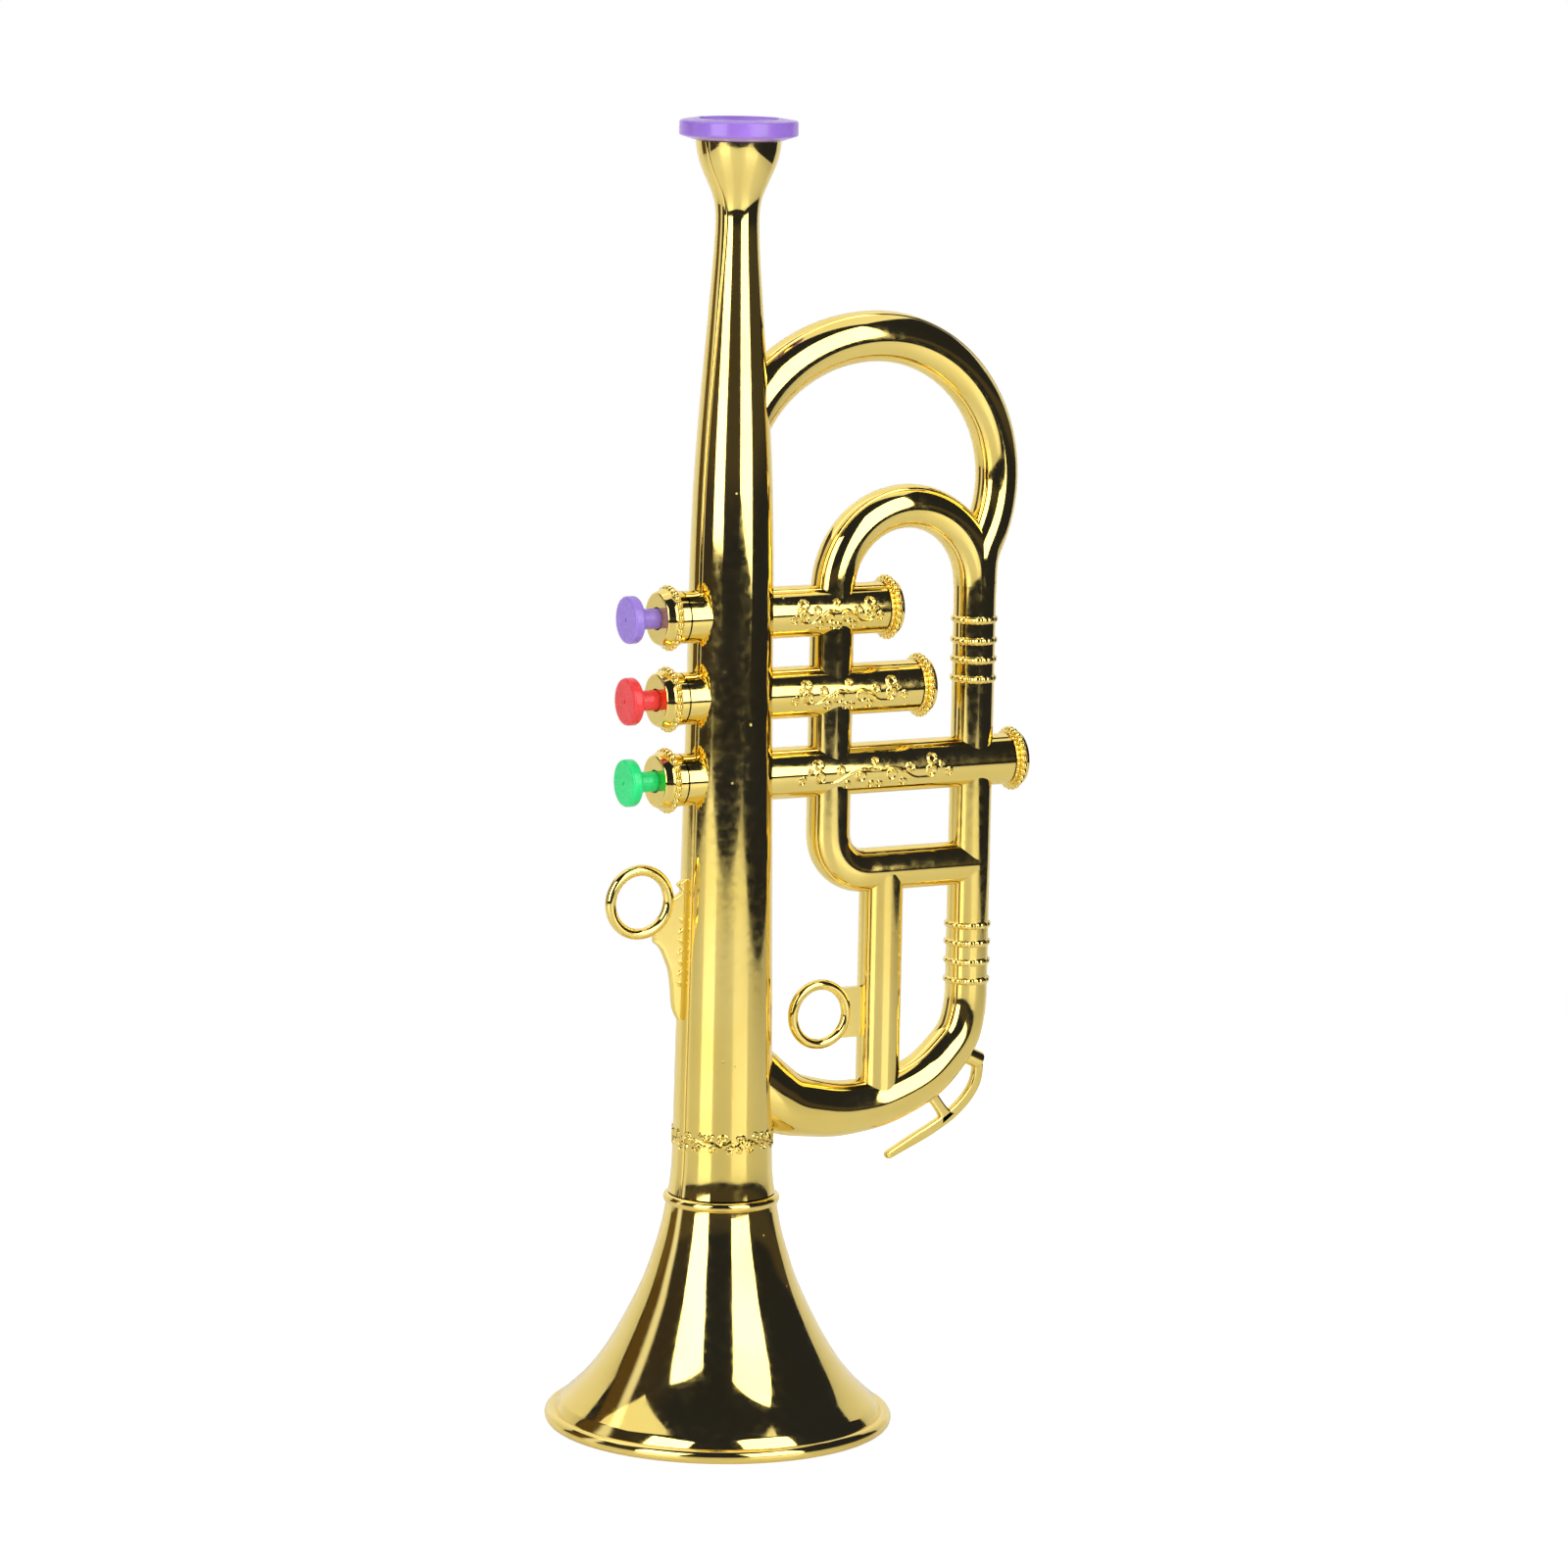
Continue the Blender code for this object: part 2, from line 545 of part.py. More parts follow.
def make_shells():
    """Front and rear half shells of the hollow body."""
    outer = side_tubes("outer", 0, OUTER_TUBE_RESOLUTION)
    inner = side_tubes("inner", -BODY_WALL, INNER_TUBE_RESOLUTION)
    outer.append(strut("outer_strut", 0, STRUT_END_DROP, CASING_SEGMENTS))
    inner.append(strut("inner_strut", -BODY_WALL, 0, BORE_SEGMENTS))
    for number, (height, reach) in enumerate(zip(KEY_HEIGHTS, CAP_REACHES), 1):
        end = casing_end(reach)
        outer.append(cone(f"casing_{number}", (0, 0, height), (end, 0, height),
                          CASING_RADIUS, CASING_RADIUS, CASING_SEGMENTS))
        inner.append(cone(f"casing_bore_{number}", (NECK_RADIUS, 0, height), (end + CUT_OVERRUN, 0, height),
                          CASING_BORE_RADIUS, CASING_BORE_RADIUS, BORE_SEGMENTS))
    body = joined("side_tubes", outer)
    hollow = joined("side_bores", inner)
    body = frozen(cut(body, [hollow]), "hollow_side_tubes")
    casings = [key_casing(number, height) for number, height in enumerate(KEY_HEIGHTS, 1)]
    main = joined("main_and_casings", [main_solid("main_tube", 0, MAIN_SEGMENTS)] + casings)
    whole = joined("filled_body", [body, main])
    bores = [main_solid("main_bore", -BODY_WALL, BORE_SEGMENTS, open_ends=True)]
    for number, height in enumerate(KEY_HEIGHTS, 1):
        bores.append(cone(f"key_bore_{number}", (0, 0, height),
                          (-CASING_KEY_REACH - CUT_OVERRUN, 0, height),
                          CASING_BORE_RADIUS, CASING_BORE_RADIUS, BORE_SEGMENTS))
    whole = frozen(cut(whole, bores), "whole_body")
    far = OVERALL_HEIGHT
    front_limit = -PARTING_SETBACK - FIT_GAP / 2
    rear_limit = -PARTING_SETBACK + FIT_GAP / 2
    front_space = box("front_space", (-far, -far, -far), (far, front_limit, 2 * far))
    rear_space = box("rear_space", (-far, rear_limit, -far), (far, far, 2 * far))
    for name, space in (("front_shell", front_space), ("rear_shell", rear_space)):
        half = place(name + "_half", whole.data.copy())
        boolean(half, "INTERSECT", space)
        smooth(frozen(half, name, GILT))


def make_bell():
    """Bell with its rolled rim, collar bead and the spigot that enters the body."""
    spigot_radius = TAIL_RADIUS - BODY_WALL - FIT_GAP
    spigot_top = BELL_TOP_HEIGHT + BELL_SPIGOT_LENGTH
    bead_centre = COLLAR_RADIUS - COLLAR_BEAD_RADIUS
    collar = circle_points((bead_centre, COLLAR_HEIGHT), COLLAR_BEAD_RADIUS, 2 * BEAD_STEP_ANGLE,
                           -BEAD_STEP_ANGLE, COLLAR_BEAD_STEPS)
    growth = BELL_RADIUS - BELL_THROAT_RADIUS
    flare = [(BELL_THROAT_RADIUS + growth * wide, COLLAR_HEIGHT * up) for up, wide in BELL_FLARE_SHARES]
    rim = circle_points((BELL_RADIUS - RIM_BEAD_RADIUS, RIM_BEAD_RADIUS), RIM_BEAD_RADIUS,
                        3 * BEAD_STEP_ANGLE, -2 * BEAD_STEP_ANGLE, RIM_BEAD_STEPS)
    inside = offset_inwards(flare, BELL_WALL)
    lip = (BELL_RADIUS - RIM_BEAD_RADIUS - RIM_FLAT_WIDTH, 0)
    inner_spigot = spigot_radius - BELL_SPIGOT_WALL
    outline = [(spigot_radius, spigot_top), (spigot_radius, BELL_TOP_HEIGHT)]
    outline += collar + flare + rim + [lip] + inside[::-1]
    outline += [(inner_spigot, BELL_TOP_HEIGHT), (inner_spigot, spigot_top)]
    smooth(frozen(turned("bell_turned", outline, BELL_SEGMENTS), "bell", GILT))


def offset_inwards(outline, distance):
    """Outline of (radius, height) points moved square to itself, towards the axis."""
    moved = []
    for index, (radius, height) in enumerate(outline):
        before = Vector(outline[max(index - 1, 0)])
        after = Vector(outline[min(index + 1, len(outline) - 1)])
        run = (after - before).normalized()
        moved.append((radius + run.y * distance, height - run.x * distance))
    return moved


def make_mouthpiece_rim():
    """Coloured rim: a ring over the cup's lip, with a spigot down the cup's inside."""
    lip_radius = CUP_RADIUS - BODY_WALL - FIT_GAP
    spigot_foot = CUP_TOP_HEIGHT - RIM_SPIGOT_LENGTH
    foot_radius = tube_radius_at(spigot_foot) - BODY_WALL - FIT_GAP
    middle = CUP_TOP_HEIGHT - RIM_SPIGOT_LENGTH / 2
    middle_radius = tube_radius_at(middle) - BODY_WALL - FIT_GAP
    outline = [(RIM_RADIUS - RIM_EDGE, OVERALL_HEIGHT), (RIM_RADIUS, OVERALL_HEIGHT - RIM_EDGE),
               (RIM_RADIUS, RIM_SEAT_HEIGHT + RIM_CHAMFER_HEIGHT),
               (CUP_RADIUS + RIM_SEAT_MARGIN, RIM_SEAT_HEIGHT), (lip_radius, RIM_SEAT_HEIGHT),
               (middle_radius, middle), (foot_radius, spigot_foot),
               (foot_radius - RIM_WALL, spigot_foot), (middle_radius - RIM_WALL, middle),
               (lip_radius - RIM_WALL, CUP_TOP_HEIGHT), (RIM_BORE_RADIUS, OVERALL_HEIGHT)]
    smooth(frozen(turned("rim_turned", outline, MAIN_SEGMENTS), "mouthpiece_rim", PURPLE))


def place_on_casing(piece, height, outward):
    """Lay a turned piece along a casing, with its own Z axis pointing outward (-1 or +1 in X)."""
    piece.location = (0, 0, height)
    piece.rotation_euler = (0, outward * QUARTER_TURN, 0)
    return piece


def make_valve_cap(number, height):
    """Cap on the key end of a casing: cone, bead ring, collar and guide spigot."""
    ring_centre = VALVE_CAP_FACE - VALVE_CAP_RING_DROP
    ring_top = ring_centre + CAP_BEAD_WIDTH / 2
    ring_foot = ring_centre - CAP_BEAD_WIDTH / 2
    collar_top = VALVE_CAP_SEAT + VALVE_CAP_COLLAR_HEIGHT
    spigot_foot = VALVE_CAP_SEAT - CAP_SPIGOT_LENGTH
    outline = [(VALVE_CAP_FACE_RADIUS, VALVE_CAP_FACE),
               (VALVE_CAP_CONE_RADIUS, VALVE_CAP_FACE - VALVE_CAP_CONE_HEIGHT),
               (CAP_BEAD_RADIUS, ring_top), (CAP_BEAD_RADIUS, ring_foot),
               (CAP_LIP_RADIUS, (ring_foot + collar_top) / 2), (VALVE_CAP_COLLAR_RADIUS, collar_top),
               (VALVE_CAP_COLLAR_RADIUS, VALVE_CAP_SEAT), (SPIGOT_RADIUS, VALVE_CAP_SEAT),
               (SPIGOT_RADIUS, spigot_foot), (KEY_GUIDE_RADIUS, spigot_foot),
               (KEY_GUIDE_RADIUS, VALVE_CAP_FACE)]
    cap = turned(f"valve_cap_{number}_turned", outline, CASING_SEGMENTS)
    cap = smooth(frozen(cap, f"valve_cap_{number}", GILT))
    place_on_casing(cap, height, -1)


def make_end_cap(number, height, reach):
    """Cap on the far end of a casing: disc, bead ring, lip and spigot."""
    disc_face = reach + END_DISC_HEIGHT
    ring_top = reach + CAP_BEAD_WIDTH / 2
    ring_foot = reach - CAP_BEAD_WIDTH / 2
    seat = ring_foot - CAP_LIP_HEIGHT
    spigot_foot = seat - CAP_SPIGOT_LENGTH
    outline = [(0, disc_face), (END_DISC_RADIUS - END_DISC_EDGE, disc_face),
               (END_DISC_RADIUS, disc_face - END_DISC_EDGE), (CAP_BEAD_RADIUS, ring_top),
               (CAP_BEAD_RADIUS, ring_foot), (CAP_LIP_RADIUS, seat), (SPIGOT_RADIUS, seat),
               (SPIGOT_RADIUS, spigot_foot), (0, spigot_foot)]
    cap = turned(f"end_cap_{number}_turned", outline, CASING_SEGMENTS, closed=False)
    cap = smooth(frozen(cap, f"end_cap_{number}", GILT))
    place_on_casing(cap, height, 1)


def make_key(number, height, finish):
    """Key: button, stem through the cap, and push rod whose head carries the pad."""
    top = KEY_UNDERSIDE + KEY_THICKNESS
    head_near = -PLATE_FACE - 2 * FIT_GAP - PAD_THICKNESS
    head_far = head_near - ROD_HEAD_THICKNESS
    outline = [(0, top), (KEY_RADIUS - KEY_EDGE, top), (KEY_RADIUS, top - KEY_EDGE),
               (KEY_RADIUS, KEY_UNDERSIDE + KEY_EDGE), (KEY_RADIUS - KEY_EDGE, KEY_UNDERSIDE),
               (KEY_STEM_RADIUS, KEY_UNDERSIDE), (KEY_STEM_RADIUS, STEM_SHOULDER),
               (PUSH_ROD_RADIUS, STEM_SHOULDER), (PUSH_ROD_RADIUS, head_near),
               (ROD_HEAD_RADIUS, head_near), (ROD_HEAD_RADIUS, head_far), (0, head_far)]
    key = turned(f"key_{number}_turned", outline, KEY_SEGMENTS, closed=False)
    key = smooth(frozen(key, f"key_{number}", finish))
    place_on_casing(key, height, -1)


def make_spring(number, height):
    """Coil spring round the push rod, between the stem's shoulder and the reed plate."""
    near = -PLATE_FACE - FIT_GAP - SPRING_WIRE_RADIUS
    far = -STEM_SHOULDER + FIT_GAP + SPRING_WIRE_RADIUS
    count = SPRING_TURNS * SPRING_POINTS_PER_TURN
    points = []
    for step in range(count + 1):
        turn = 2 * math.pi * step / SPRING_POINTS_PER_TURN
        points.append((near + (far - near) * step / count, SPRING_COIL_RADIUS * math.cos(turn),
                       height + SPRING_COIL_RADIUS * math.sin(turn)))
    wire = [SPRING_WIRE_RADIUS] * len(points)
    smooth(tube(f"key_spring_{number}", points, wire, WIRE_RESOLUTION, STEEL))


def rod_hole(name, height, reach):
    """Cutter for a push rod's hole, from the plate's middle plane to a reach on both sides."""
    radius = PUSH_ROD_RADIUS + FIT_GAP
    return cone(name, (-reach, 0, height), (reach, 0, height), radius, radius)


def make_pad(number, height):
    """Rubber pad on a push rod's head, over one reed slot."""
    near = PLATE_FACE + FIT_GAP
    low = (near, -PAD_FRONT_REACH, height - PAD_HALF_HEIGHT)
    high = (near + PAD_THICKNESS, PAD_BACK_REACH, height + PAD_HALF_HEIGHT)
    pad = box(f"pad_{number}", low, high, BLACK_RUBBER)
    bevel = pad.modifiers.new("Rounded", "BEVEL")
    bevel.width = PAD_EDGE
    bevel.segments = 1
    cut(pad, [rod_hole(f"pad_hole_{number}", height, near + PAD_THICKNESS + CUT_OVERRUN)])


def reed_places():
    """Offset across the plate and height of each reed: one for each key, then the open one."""
    places = [(REED_OFFSET, height) for height in KEY_HEIGHTS]
    return places + [(-OPEN_REED_OFFSET, MIDDLE_KEY_HEIGHT)]


def reed_base_height(height):
    """Middle height of the base that holds a reed, above its slot."""
    return height + SLOT_HALF_LENGTH + REED_BASE_LENGTH / 2


def make_reed_block():
    """Wall across the main tube with rod holes, reed slots, end walls and reed stakes."""
    far = CUP_RADIUS + TAIL_RADIUS
    head, foot = REED_BLOCK_HEAD, REED_BLOCK_FOOT
    wall = box("reed_wall", (-PLATE_FACE, -far, foot), (PLATE_FACE, far, head))
    head_wall = box("reed_head_wall", (-PLATE_FACE, -far, head - REED_END_WALL), (far, far, head))
    foot_wall = box("reed_foot_wall", (-far, -far, foot), (PLATE_FACE, far, foot + REED_END_WALL))
    block = joined("reed_walls", [wall, head_wall, foot_wall])
    room = main_solid("reed_room", -BODY_WALL - FIT_GAP, BORE_SEGMENTS, open_ends=True)
    boolean(block, "INTERSECT", room)
    cutters = [rod_hole(f"rod_hole_{number}", height, CUT_OVERRUN)
               for number, height in enumerate(KEY_HEIGHTS, 1)]
    for number, (across, height) in enumerate(reed_places(), 1):
        low = (-CUT_OVERRUN, across - SLOT_HALF_WIDTH, height - SLOT_HALF_LENGTH)
        high = (CUT_OVERRUN, across + SLOT_HALF_WIDTH, height + SLOT_HALF_LENGTH)
        cutters.append(box(f"reed_slot_{number}", low, high))
        base = reed_base_height(height)
        stake = cone(f"reed_stake_{number}", (0, across, base),
                     (-PLATE_FACE - REED_STAKE_HEIGHT, across, base),
                     REED_STAKE_RADIUS, REED_STAKE_RADIUS)
        boolean(block, "UNION", stake)
    cut(block, cutters)
    frozen(block, "reed_block", WHITE_PLASTIC)


def make_reed(number, across, height):
    """Brass reed: a base on its stake and a tongue over the slot."""
    base_low = height + SLOT_HALF_LENGTH
    base_high = base_low + REED_BASE_LENGTH
    half_base, half_tongue = REED_BASE_WIDTH / 2, REED_TONGUE_WIDTH / 2
    outline = [(across - half_base, base_high), (across - half_base, base_low),
               (across - half_tongue, base_low), (across - half_tongue, height - REED_TONGUE_HALF_LENGTH),
               (across + half_tongue, height - REED_TONGUE_HALF_LENGTH), (across + half_tongue, base_low),
               (across + half_base, base_low), (across + half_base, base_high)]
    hole_radius = REED_STAKE_RADIUS + FIT_GAP
    hole = circle_points((across, reed_base_height(height)), hole_radius, 0, 2 * math.pi, SMALL_SEGMENTS)
    reed = plate(f"reed_{number}_flat", [outline, hole[:-1]], REED_THICKNESS)
    face = -REED_FACE - REED_THICKNESS / 2
    quarter = Matrix.Rotation(QUARTER_TURN, 4, "Z")
    reed.data.transform(quarter @ reed.matrix_basis)
    reed.matrix_basis = Matrix.Translation((face, 0, 0))
    frozen(reed, f"reed_{number}", BRASS)


def torus(name, centre, radius, thickness_radius):
    """Ring whose hole faces along Y."""
    bpy.ops.mesh.primitive_torus_add(major_radius=radius, minor_radius=thickness_radius,
                                     major_segments=RING_SEGMENTS, minor_segments=RING_SIDES)
    made = bpy.context.object
    mesh = made.data
    bpy.data.objects.remove(made, do_unlink=True)
    ring = place(name, mesh)
    ring.location = (centre[0], 0, centre[1])
    ring.rotation_euler = (QUARTER_TURN, 0, 0)
    return ring


def make_finger_ring():
    """Finger ring with its leaf web along the main tube."""
    centre = (-FINGER_RING_REACH, FINGER_RING_HEIGHT)
    ring = torus("finger_torus", centre, FINGER_RING_RADIUS, FINGER_RING_THICKNESS_RADIUS)
    outline = circle_points(centre, FINGER_RING_RADIUS, FINGER_WEB_START_ANGLE, FINGER_WEB_END_ANGLE,
                            WEB_ARC_STEPS)
    outline += [(-FINGER_RING_REACH * across, FINGER_RING_HEIGHT - FINGER_WEB_LENGTH * down)
                for across, down in FINGER_WEB_SHARES]
    web = plate("finger_web", [outline], RING_WEB_THICKNESS)
    whole = joined("finger_ring_whole", [ring, web])
    cut(whole, [main_solid("finger_clearance", FIT_GAP, MAIN_SEGMENTS)])
    smooth(frozen(whole, "finger_ring", GILT))


def make_thumb_ring():
    """Thumb ring with its flat tab on the strut tube."""
    centre = (THUMB_RING_REACH, THUMB_RING_HEIGHT)
    ring = torus("thumb_torus", centre, THUMB_RING_RADIUS, THUMB_RING_THICKNESS_RADIUS)
    outline = circle_points(centre, THUMB_RING_RADIUS, -THUMB_TAB_ANGLE, THUMB_TAB_ANGLE, WEB_ARC_STEPS)
    outline += [(STRUT_REACH, THUMB_RING_HEIGHT + THUMB_TAB_HALF_HEIGHT),
                (STRUT_REACH, THUMB_RING_HEIGHT - THUMB_TAB_HALF_HEIGHT)]
    tab = plate("thumb_tab", [outline], RING_WEB_THICKNESS)
    whole = joined("thumb_ring_whole", [ring, tab])
    radius = STRUT_RADIUS + FIT_GAP
    cut(whole, [cone("thumb_clearance", (STRUT_REACH, 0, LOWER_BOW_HEIGHT),
                     (STRUT_REACH, 0, CROSS_TUBE_HEIGHT), radius, radius, CASING_SEGMENTS)])
    smooth(frozen(whole, "thumb_ring", GILT))


def ribbon(points, half_widths):
    """Outline of a flat strip of varying width along points (x, z)."""
    left, right = [], []
    for index, point in enumerate(points):
        before = Vector(points[max(index - 1, 0)])
        after = Vector(points[min(index + 1, len(points) - 1)])
        side = (after - before).normalized().orthogonal() * half_widths[index]
        left.append(tuple(Vector(point) + side))
        right.append(tuple(Vector(point) - side))
    return left + right[::-1]


def make_water_key():
    """Dummy water key: nipple on the lower bow, curved lever and the post between them."""
    foot = (NIPPLE_REACH, NIPPLE_HEIGHT)
    tip = (foot[0] + NIPPLE_LENGTH * math.cos(NIPPLE_ANGLE), foot[1] + NIPPLE_LENGTH * math.sin(NIPPLE_ANGLE))
    nipple = cone("nipple", (foot[0], 0, foot[1]), (tip[0], 0, tip[1]), NIPPLE_RADIUS, NIPPLE_RADIUS,
                  KEY_SEGMENTS)
    start = (tip[0] - LEVER_HALF_WIDTH / 2, tip[1])
    line = [(start[0] - LEVER_SPAN * inwards, start[1] - LEVER_DROP * down) for inwards, down in LEVER_SHARES]
    widths = [LEVER_HALF_WIDTH] * (len(line) - 1) + [LEVER_TIP_HALF_WIDTH]
    lever = plate("lever", [ribbon(line, widths)], LEVER_THICKNESS)
    post_ends = [(start[0] - LEVER_SPAN * inwards, start[1] - LEVER_DROP * down)
                 for inwards, down in POST_SHARES]
    post = plate("lever_post", [ribbon(post_ends, [POST_HALF_WIDTH] * 2)], LEVER_THICKNESS)
    whole = joined("water_key_whole", [nipple, lever, post])
    path, radii = bow_path()
    wider = [radius + FIT_GAP for radius in radii]
    cut(whole, [tube("water_key_clearance", upright(path), wider, OUTER_TUBE_RESOLUTION)])
    smooth(frozen(whole, "water_key", GILT))


def build():
    """Make every piece of the trumpet."""
    make_shells()
    make_bell()
    make_mouthpiece_rim()
    for number, (height, reach, finish) in enumerate(zip(KEY_HEIGHTS, CAP_REACHES, (PURPLE, RED, GREEN)), 1):
        make_valve_cap(number, height)
        make_end_cap(number, height, reach)
        make_key(number, height, finish)
        make_spring(number, height)
        make_pad(number, height)
    make_reed_block()
    for number, (across, height) in enumerate(reed_places(), 1):
        make_reed(number, across, height)
    make_finger_ring()
    make_thumb_ring()
    make_water_key()


clear_scene()
PIECES = new_collection("toy_trumpet")
CUTTERS = new_collection("toy_trumpet_cutters")
FRAME = bpy.data.objects.new("trumpet_axis", None)
PIECES.objects.link(FRAME)
FRAME.location = (AXIS_OFFSET, 0, 0)
build()
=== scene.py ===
"""Toy trumpet of gilt plastic, standing on its bell in a plain studio.

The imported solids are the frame. Every surface here is a grid of points worked out as whole
arrays, placed in metres in the frame's own coordinates. Reach is measured from the main
tube's axis along X, and height from the bell's rim plane along Z. The front faces -Y.
"""
import math

import bpy
import numpy as np
from mathutils import Matrix, Vector


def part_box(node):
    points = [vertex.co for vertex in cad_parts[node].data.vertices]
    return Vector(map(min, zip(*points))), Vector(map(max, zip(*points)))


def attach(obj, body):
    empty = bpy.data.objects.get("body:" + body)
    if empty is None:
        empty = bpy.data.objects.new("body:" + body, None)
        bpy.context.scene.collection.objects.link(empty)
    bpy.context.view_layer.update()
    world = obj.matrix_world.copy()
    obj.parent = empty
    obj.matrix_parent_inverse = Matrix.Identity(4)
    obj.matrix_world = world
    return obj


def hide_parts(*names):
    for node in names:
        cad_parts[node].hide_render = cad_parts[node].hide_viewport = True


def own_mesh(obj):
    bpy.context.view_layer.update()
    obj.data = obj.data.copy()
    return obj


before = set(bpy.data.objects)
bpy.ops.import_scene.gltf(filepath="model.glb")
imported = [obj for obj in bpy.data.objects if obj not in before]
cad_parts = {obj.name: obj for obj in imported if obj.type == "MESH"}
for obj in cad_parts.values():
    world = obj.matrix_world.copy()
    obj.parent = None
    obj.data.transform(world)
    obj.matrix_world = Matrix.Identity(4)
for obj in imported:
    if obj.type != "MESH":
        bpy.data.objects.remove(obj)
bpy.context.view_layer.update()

bl_info = {
    "name": "Toy trumpet",
    "version": (1, 0, 0),
    "blender": (4, 5, 0),
    "location": "3D View > Sidebar > Trumpet",
    "description": "Gilt toy trumpet with sprung keys, built around its packed solids",
    "category": "Object",
}

MM = 0.001
TURN = 2 * math.pi
SHARP_ANGLE = math.radians(38)
FRONT, REAR = -1, 1
SIDES = ((FRONT, "front"), (REAR, "rear"))


def middle(node):
    """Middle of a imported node's box."""
    low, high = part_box(node)
    return (low + high) / 2


AXIS_X = middle("mouthpiece_rim").x
TOP_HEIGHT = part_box("mouthpiece_rim")[1].z
KEY_NUMBERS = (1, 2, 3)
KEY_HEIGHTS = [middle(f"key_{number}").z for number in KEY_NUMBERS]
CAP_FACES = [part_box(f"end_cap_{number}")[1].x - AXIS_X for number in KEY_NUMBERS]


# Sizes and colours that a user may change


def size(label, text, default):
    """Length property from a default in millimetres."""
    return bpy.props.FloatProperty(name=label, description=text, default=default * MM,
                                   unit="LENGTH", precision=5)


def angle(label, text, default):
    """Angle property from a default in degrees."""
    return bpy.props.FloatProperty(name=label, description=text, default=math.radians(default),
                                   unit="ROTATION", precision=4)


def share(label, text, default, highest=1.0):
    """Plain factor."""
    return bpy.props.FloatProperty(name=label, description=text, default=default, min=0.0,
                                   max=highest)


def place(label, default):
    """Millimetres right of, before and above the trumpet's foot as the camera sees it."""
    return bpy.props.FloatVectorProperty(
        name=f"{label} place", description=f"{label}, measured from the trumpet",
        default=[value * MM for value in default], size=3, subtype="TRANSLATION",
        unit="LENGTH")


def turn(label, default):
    """Lean towards the trumpet, heading and roll, from degrees."""
    return bpy.props.FloatVectorProperty(
        name=f"{label} turn", description=f"{label}: lean, heading and roll",
        default=[math.radians(value) for value in default], size=3, subtype="EULER",
        unit="ROTATION")


def tint(label, text, default):
    """Colour property."""
    return bpy.props.FloatVectorProperty(name=label, description=text, default=default, size=3,
                                         subtype="COLOR", min=0.0, max=1.0)


class TrumpetTubes(bpy.types.PropertyGroup):
    """Sizes of the hollow body's tubes."""

    wall: size("Wall", "Thickness of the shells' wall", 1.5)
    setback: size("Parting setback", "Parting plane's distance before the middle plane", 3.3)
    seam: size("Seam", "Gap between the two shells", 0.3)
    edge: size("Seam edge", "Rounding of the shells' outer edge at the seam", 0.35)
    cup: size("Cup radius", "Outer radius of the mouthpiece cup at its lip", 12)
    cup_depth: size("Cup depth", "Height from the neck to the cup's lip", 21)
    neck: size("Neck radius", "Outer radius of the neck under the cup", 6.05)
    leadpipe: size("Leadpipe length", "Length from the neck down to the valves' tube", 98)
    valve_tube: size("Valve tube radius", "Outer radius of the main tube above the valves", 11.8)
    tail: size("Tail radius", "Outer radius of the main tube near its foot", 14.3)
    tail_height: size("Tail height", "Height at which the foot begins to flare", 76)
    foot: size("Foot radius", "Outer radius of the main tube at the collar", 15.2)
    bow_reach: size("Big bow reach", "Reach of the big bow's centre", 44)
    bow_height: size("Big bow height", "Height of the big bow's centre", 267.7)
    bow_bend: size("Big bow bend", "Radius of the big bow's bend", 41)
    bow_span: size("Big bow root span", "Span of the big bow towards the main tube", 45.5)
    bow_root: size("Big bow root radius", "Tube radius of the big bow at the main tube", 7.7)
    bow_top: size("Big bow top radius", "Tube radius of the big bow at its top", 7.2)
    leg_reach: size("Right leg reach", "Reach of the right leg's axis", 78.7)
    leg: size("Right leg radius", "Tube radius of the right leg", 6.05)
    leg_end: size("Right leg end", "Height at which the right leg turns into the lower bow", 118)
    lower_bow: size("Lower bow radius", "Tube radius of the lower bow under the strut", 8.05)
    lower_height: size("Lower bow height", "Height of the lower bow's lowest axis point", 87.5)
    small_bend: size("Small bow bend", "Radius of the small bow's bend", 23.2)
    small_height: size("Small bow height", "Height of the small bow's centre", 237.05)
    small: size("Small tube radius", "Tube radius of the small bow", 6.25)
    cross_height: size("Cross tube height", "Height of the cross tube's axis", 156.35)
    cross_bend: size("Cross tube bend", "Radius of the bend into the cross tube", 11)
    strut_reach: size("Strut reach", "Reach of the strut's axis", 50)
    strut: size("Strut radius", "Tube radius of the strut", 6.3)
    band_height: size("Leg band height", "How far the bands stand out from the right leg", 0.75)
    relief: size("Scroll relief", "How far the scrollwork stands out", 0.42)


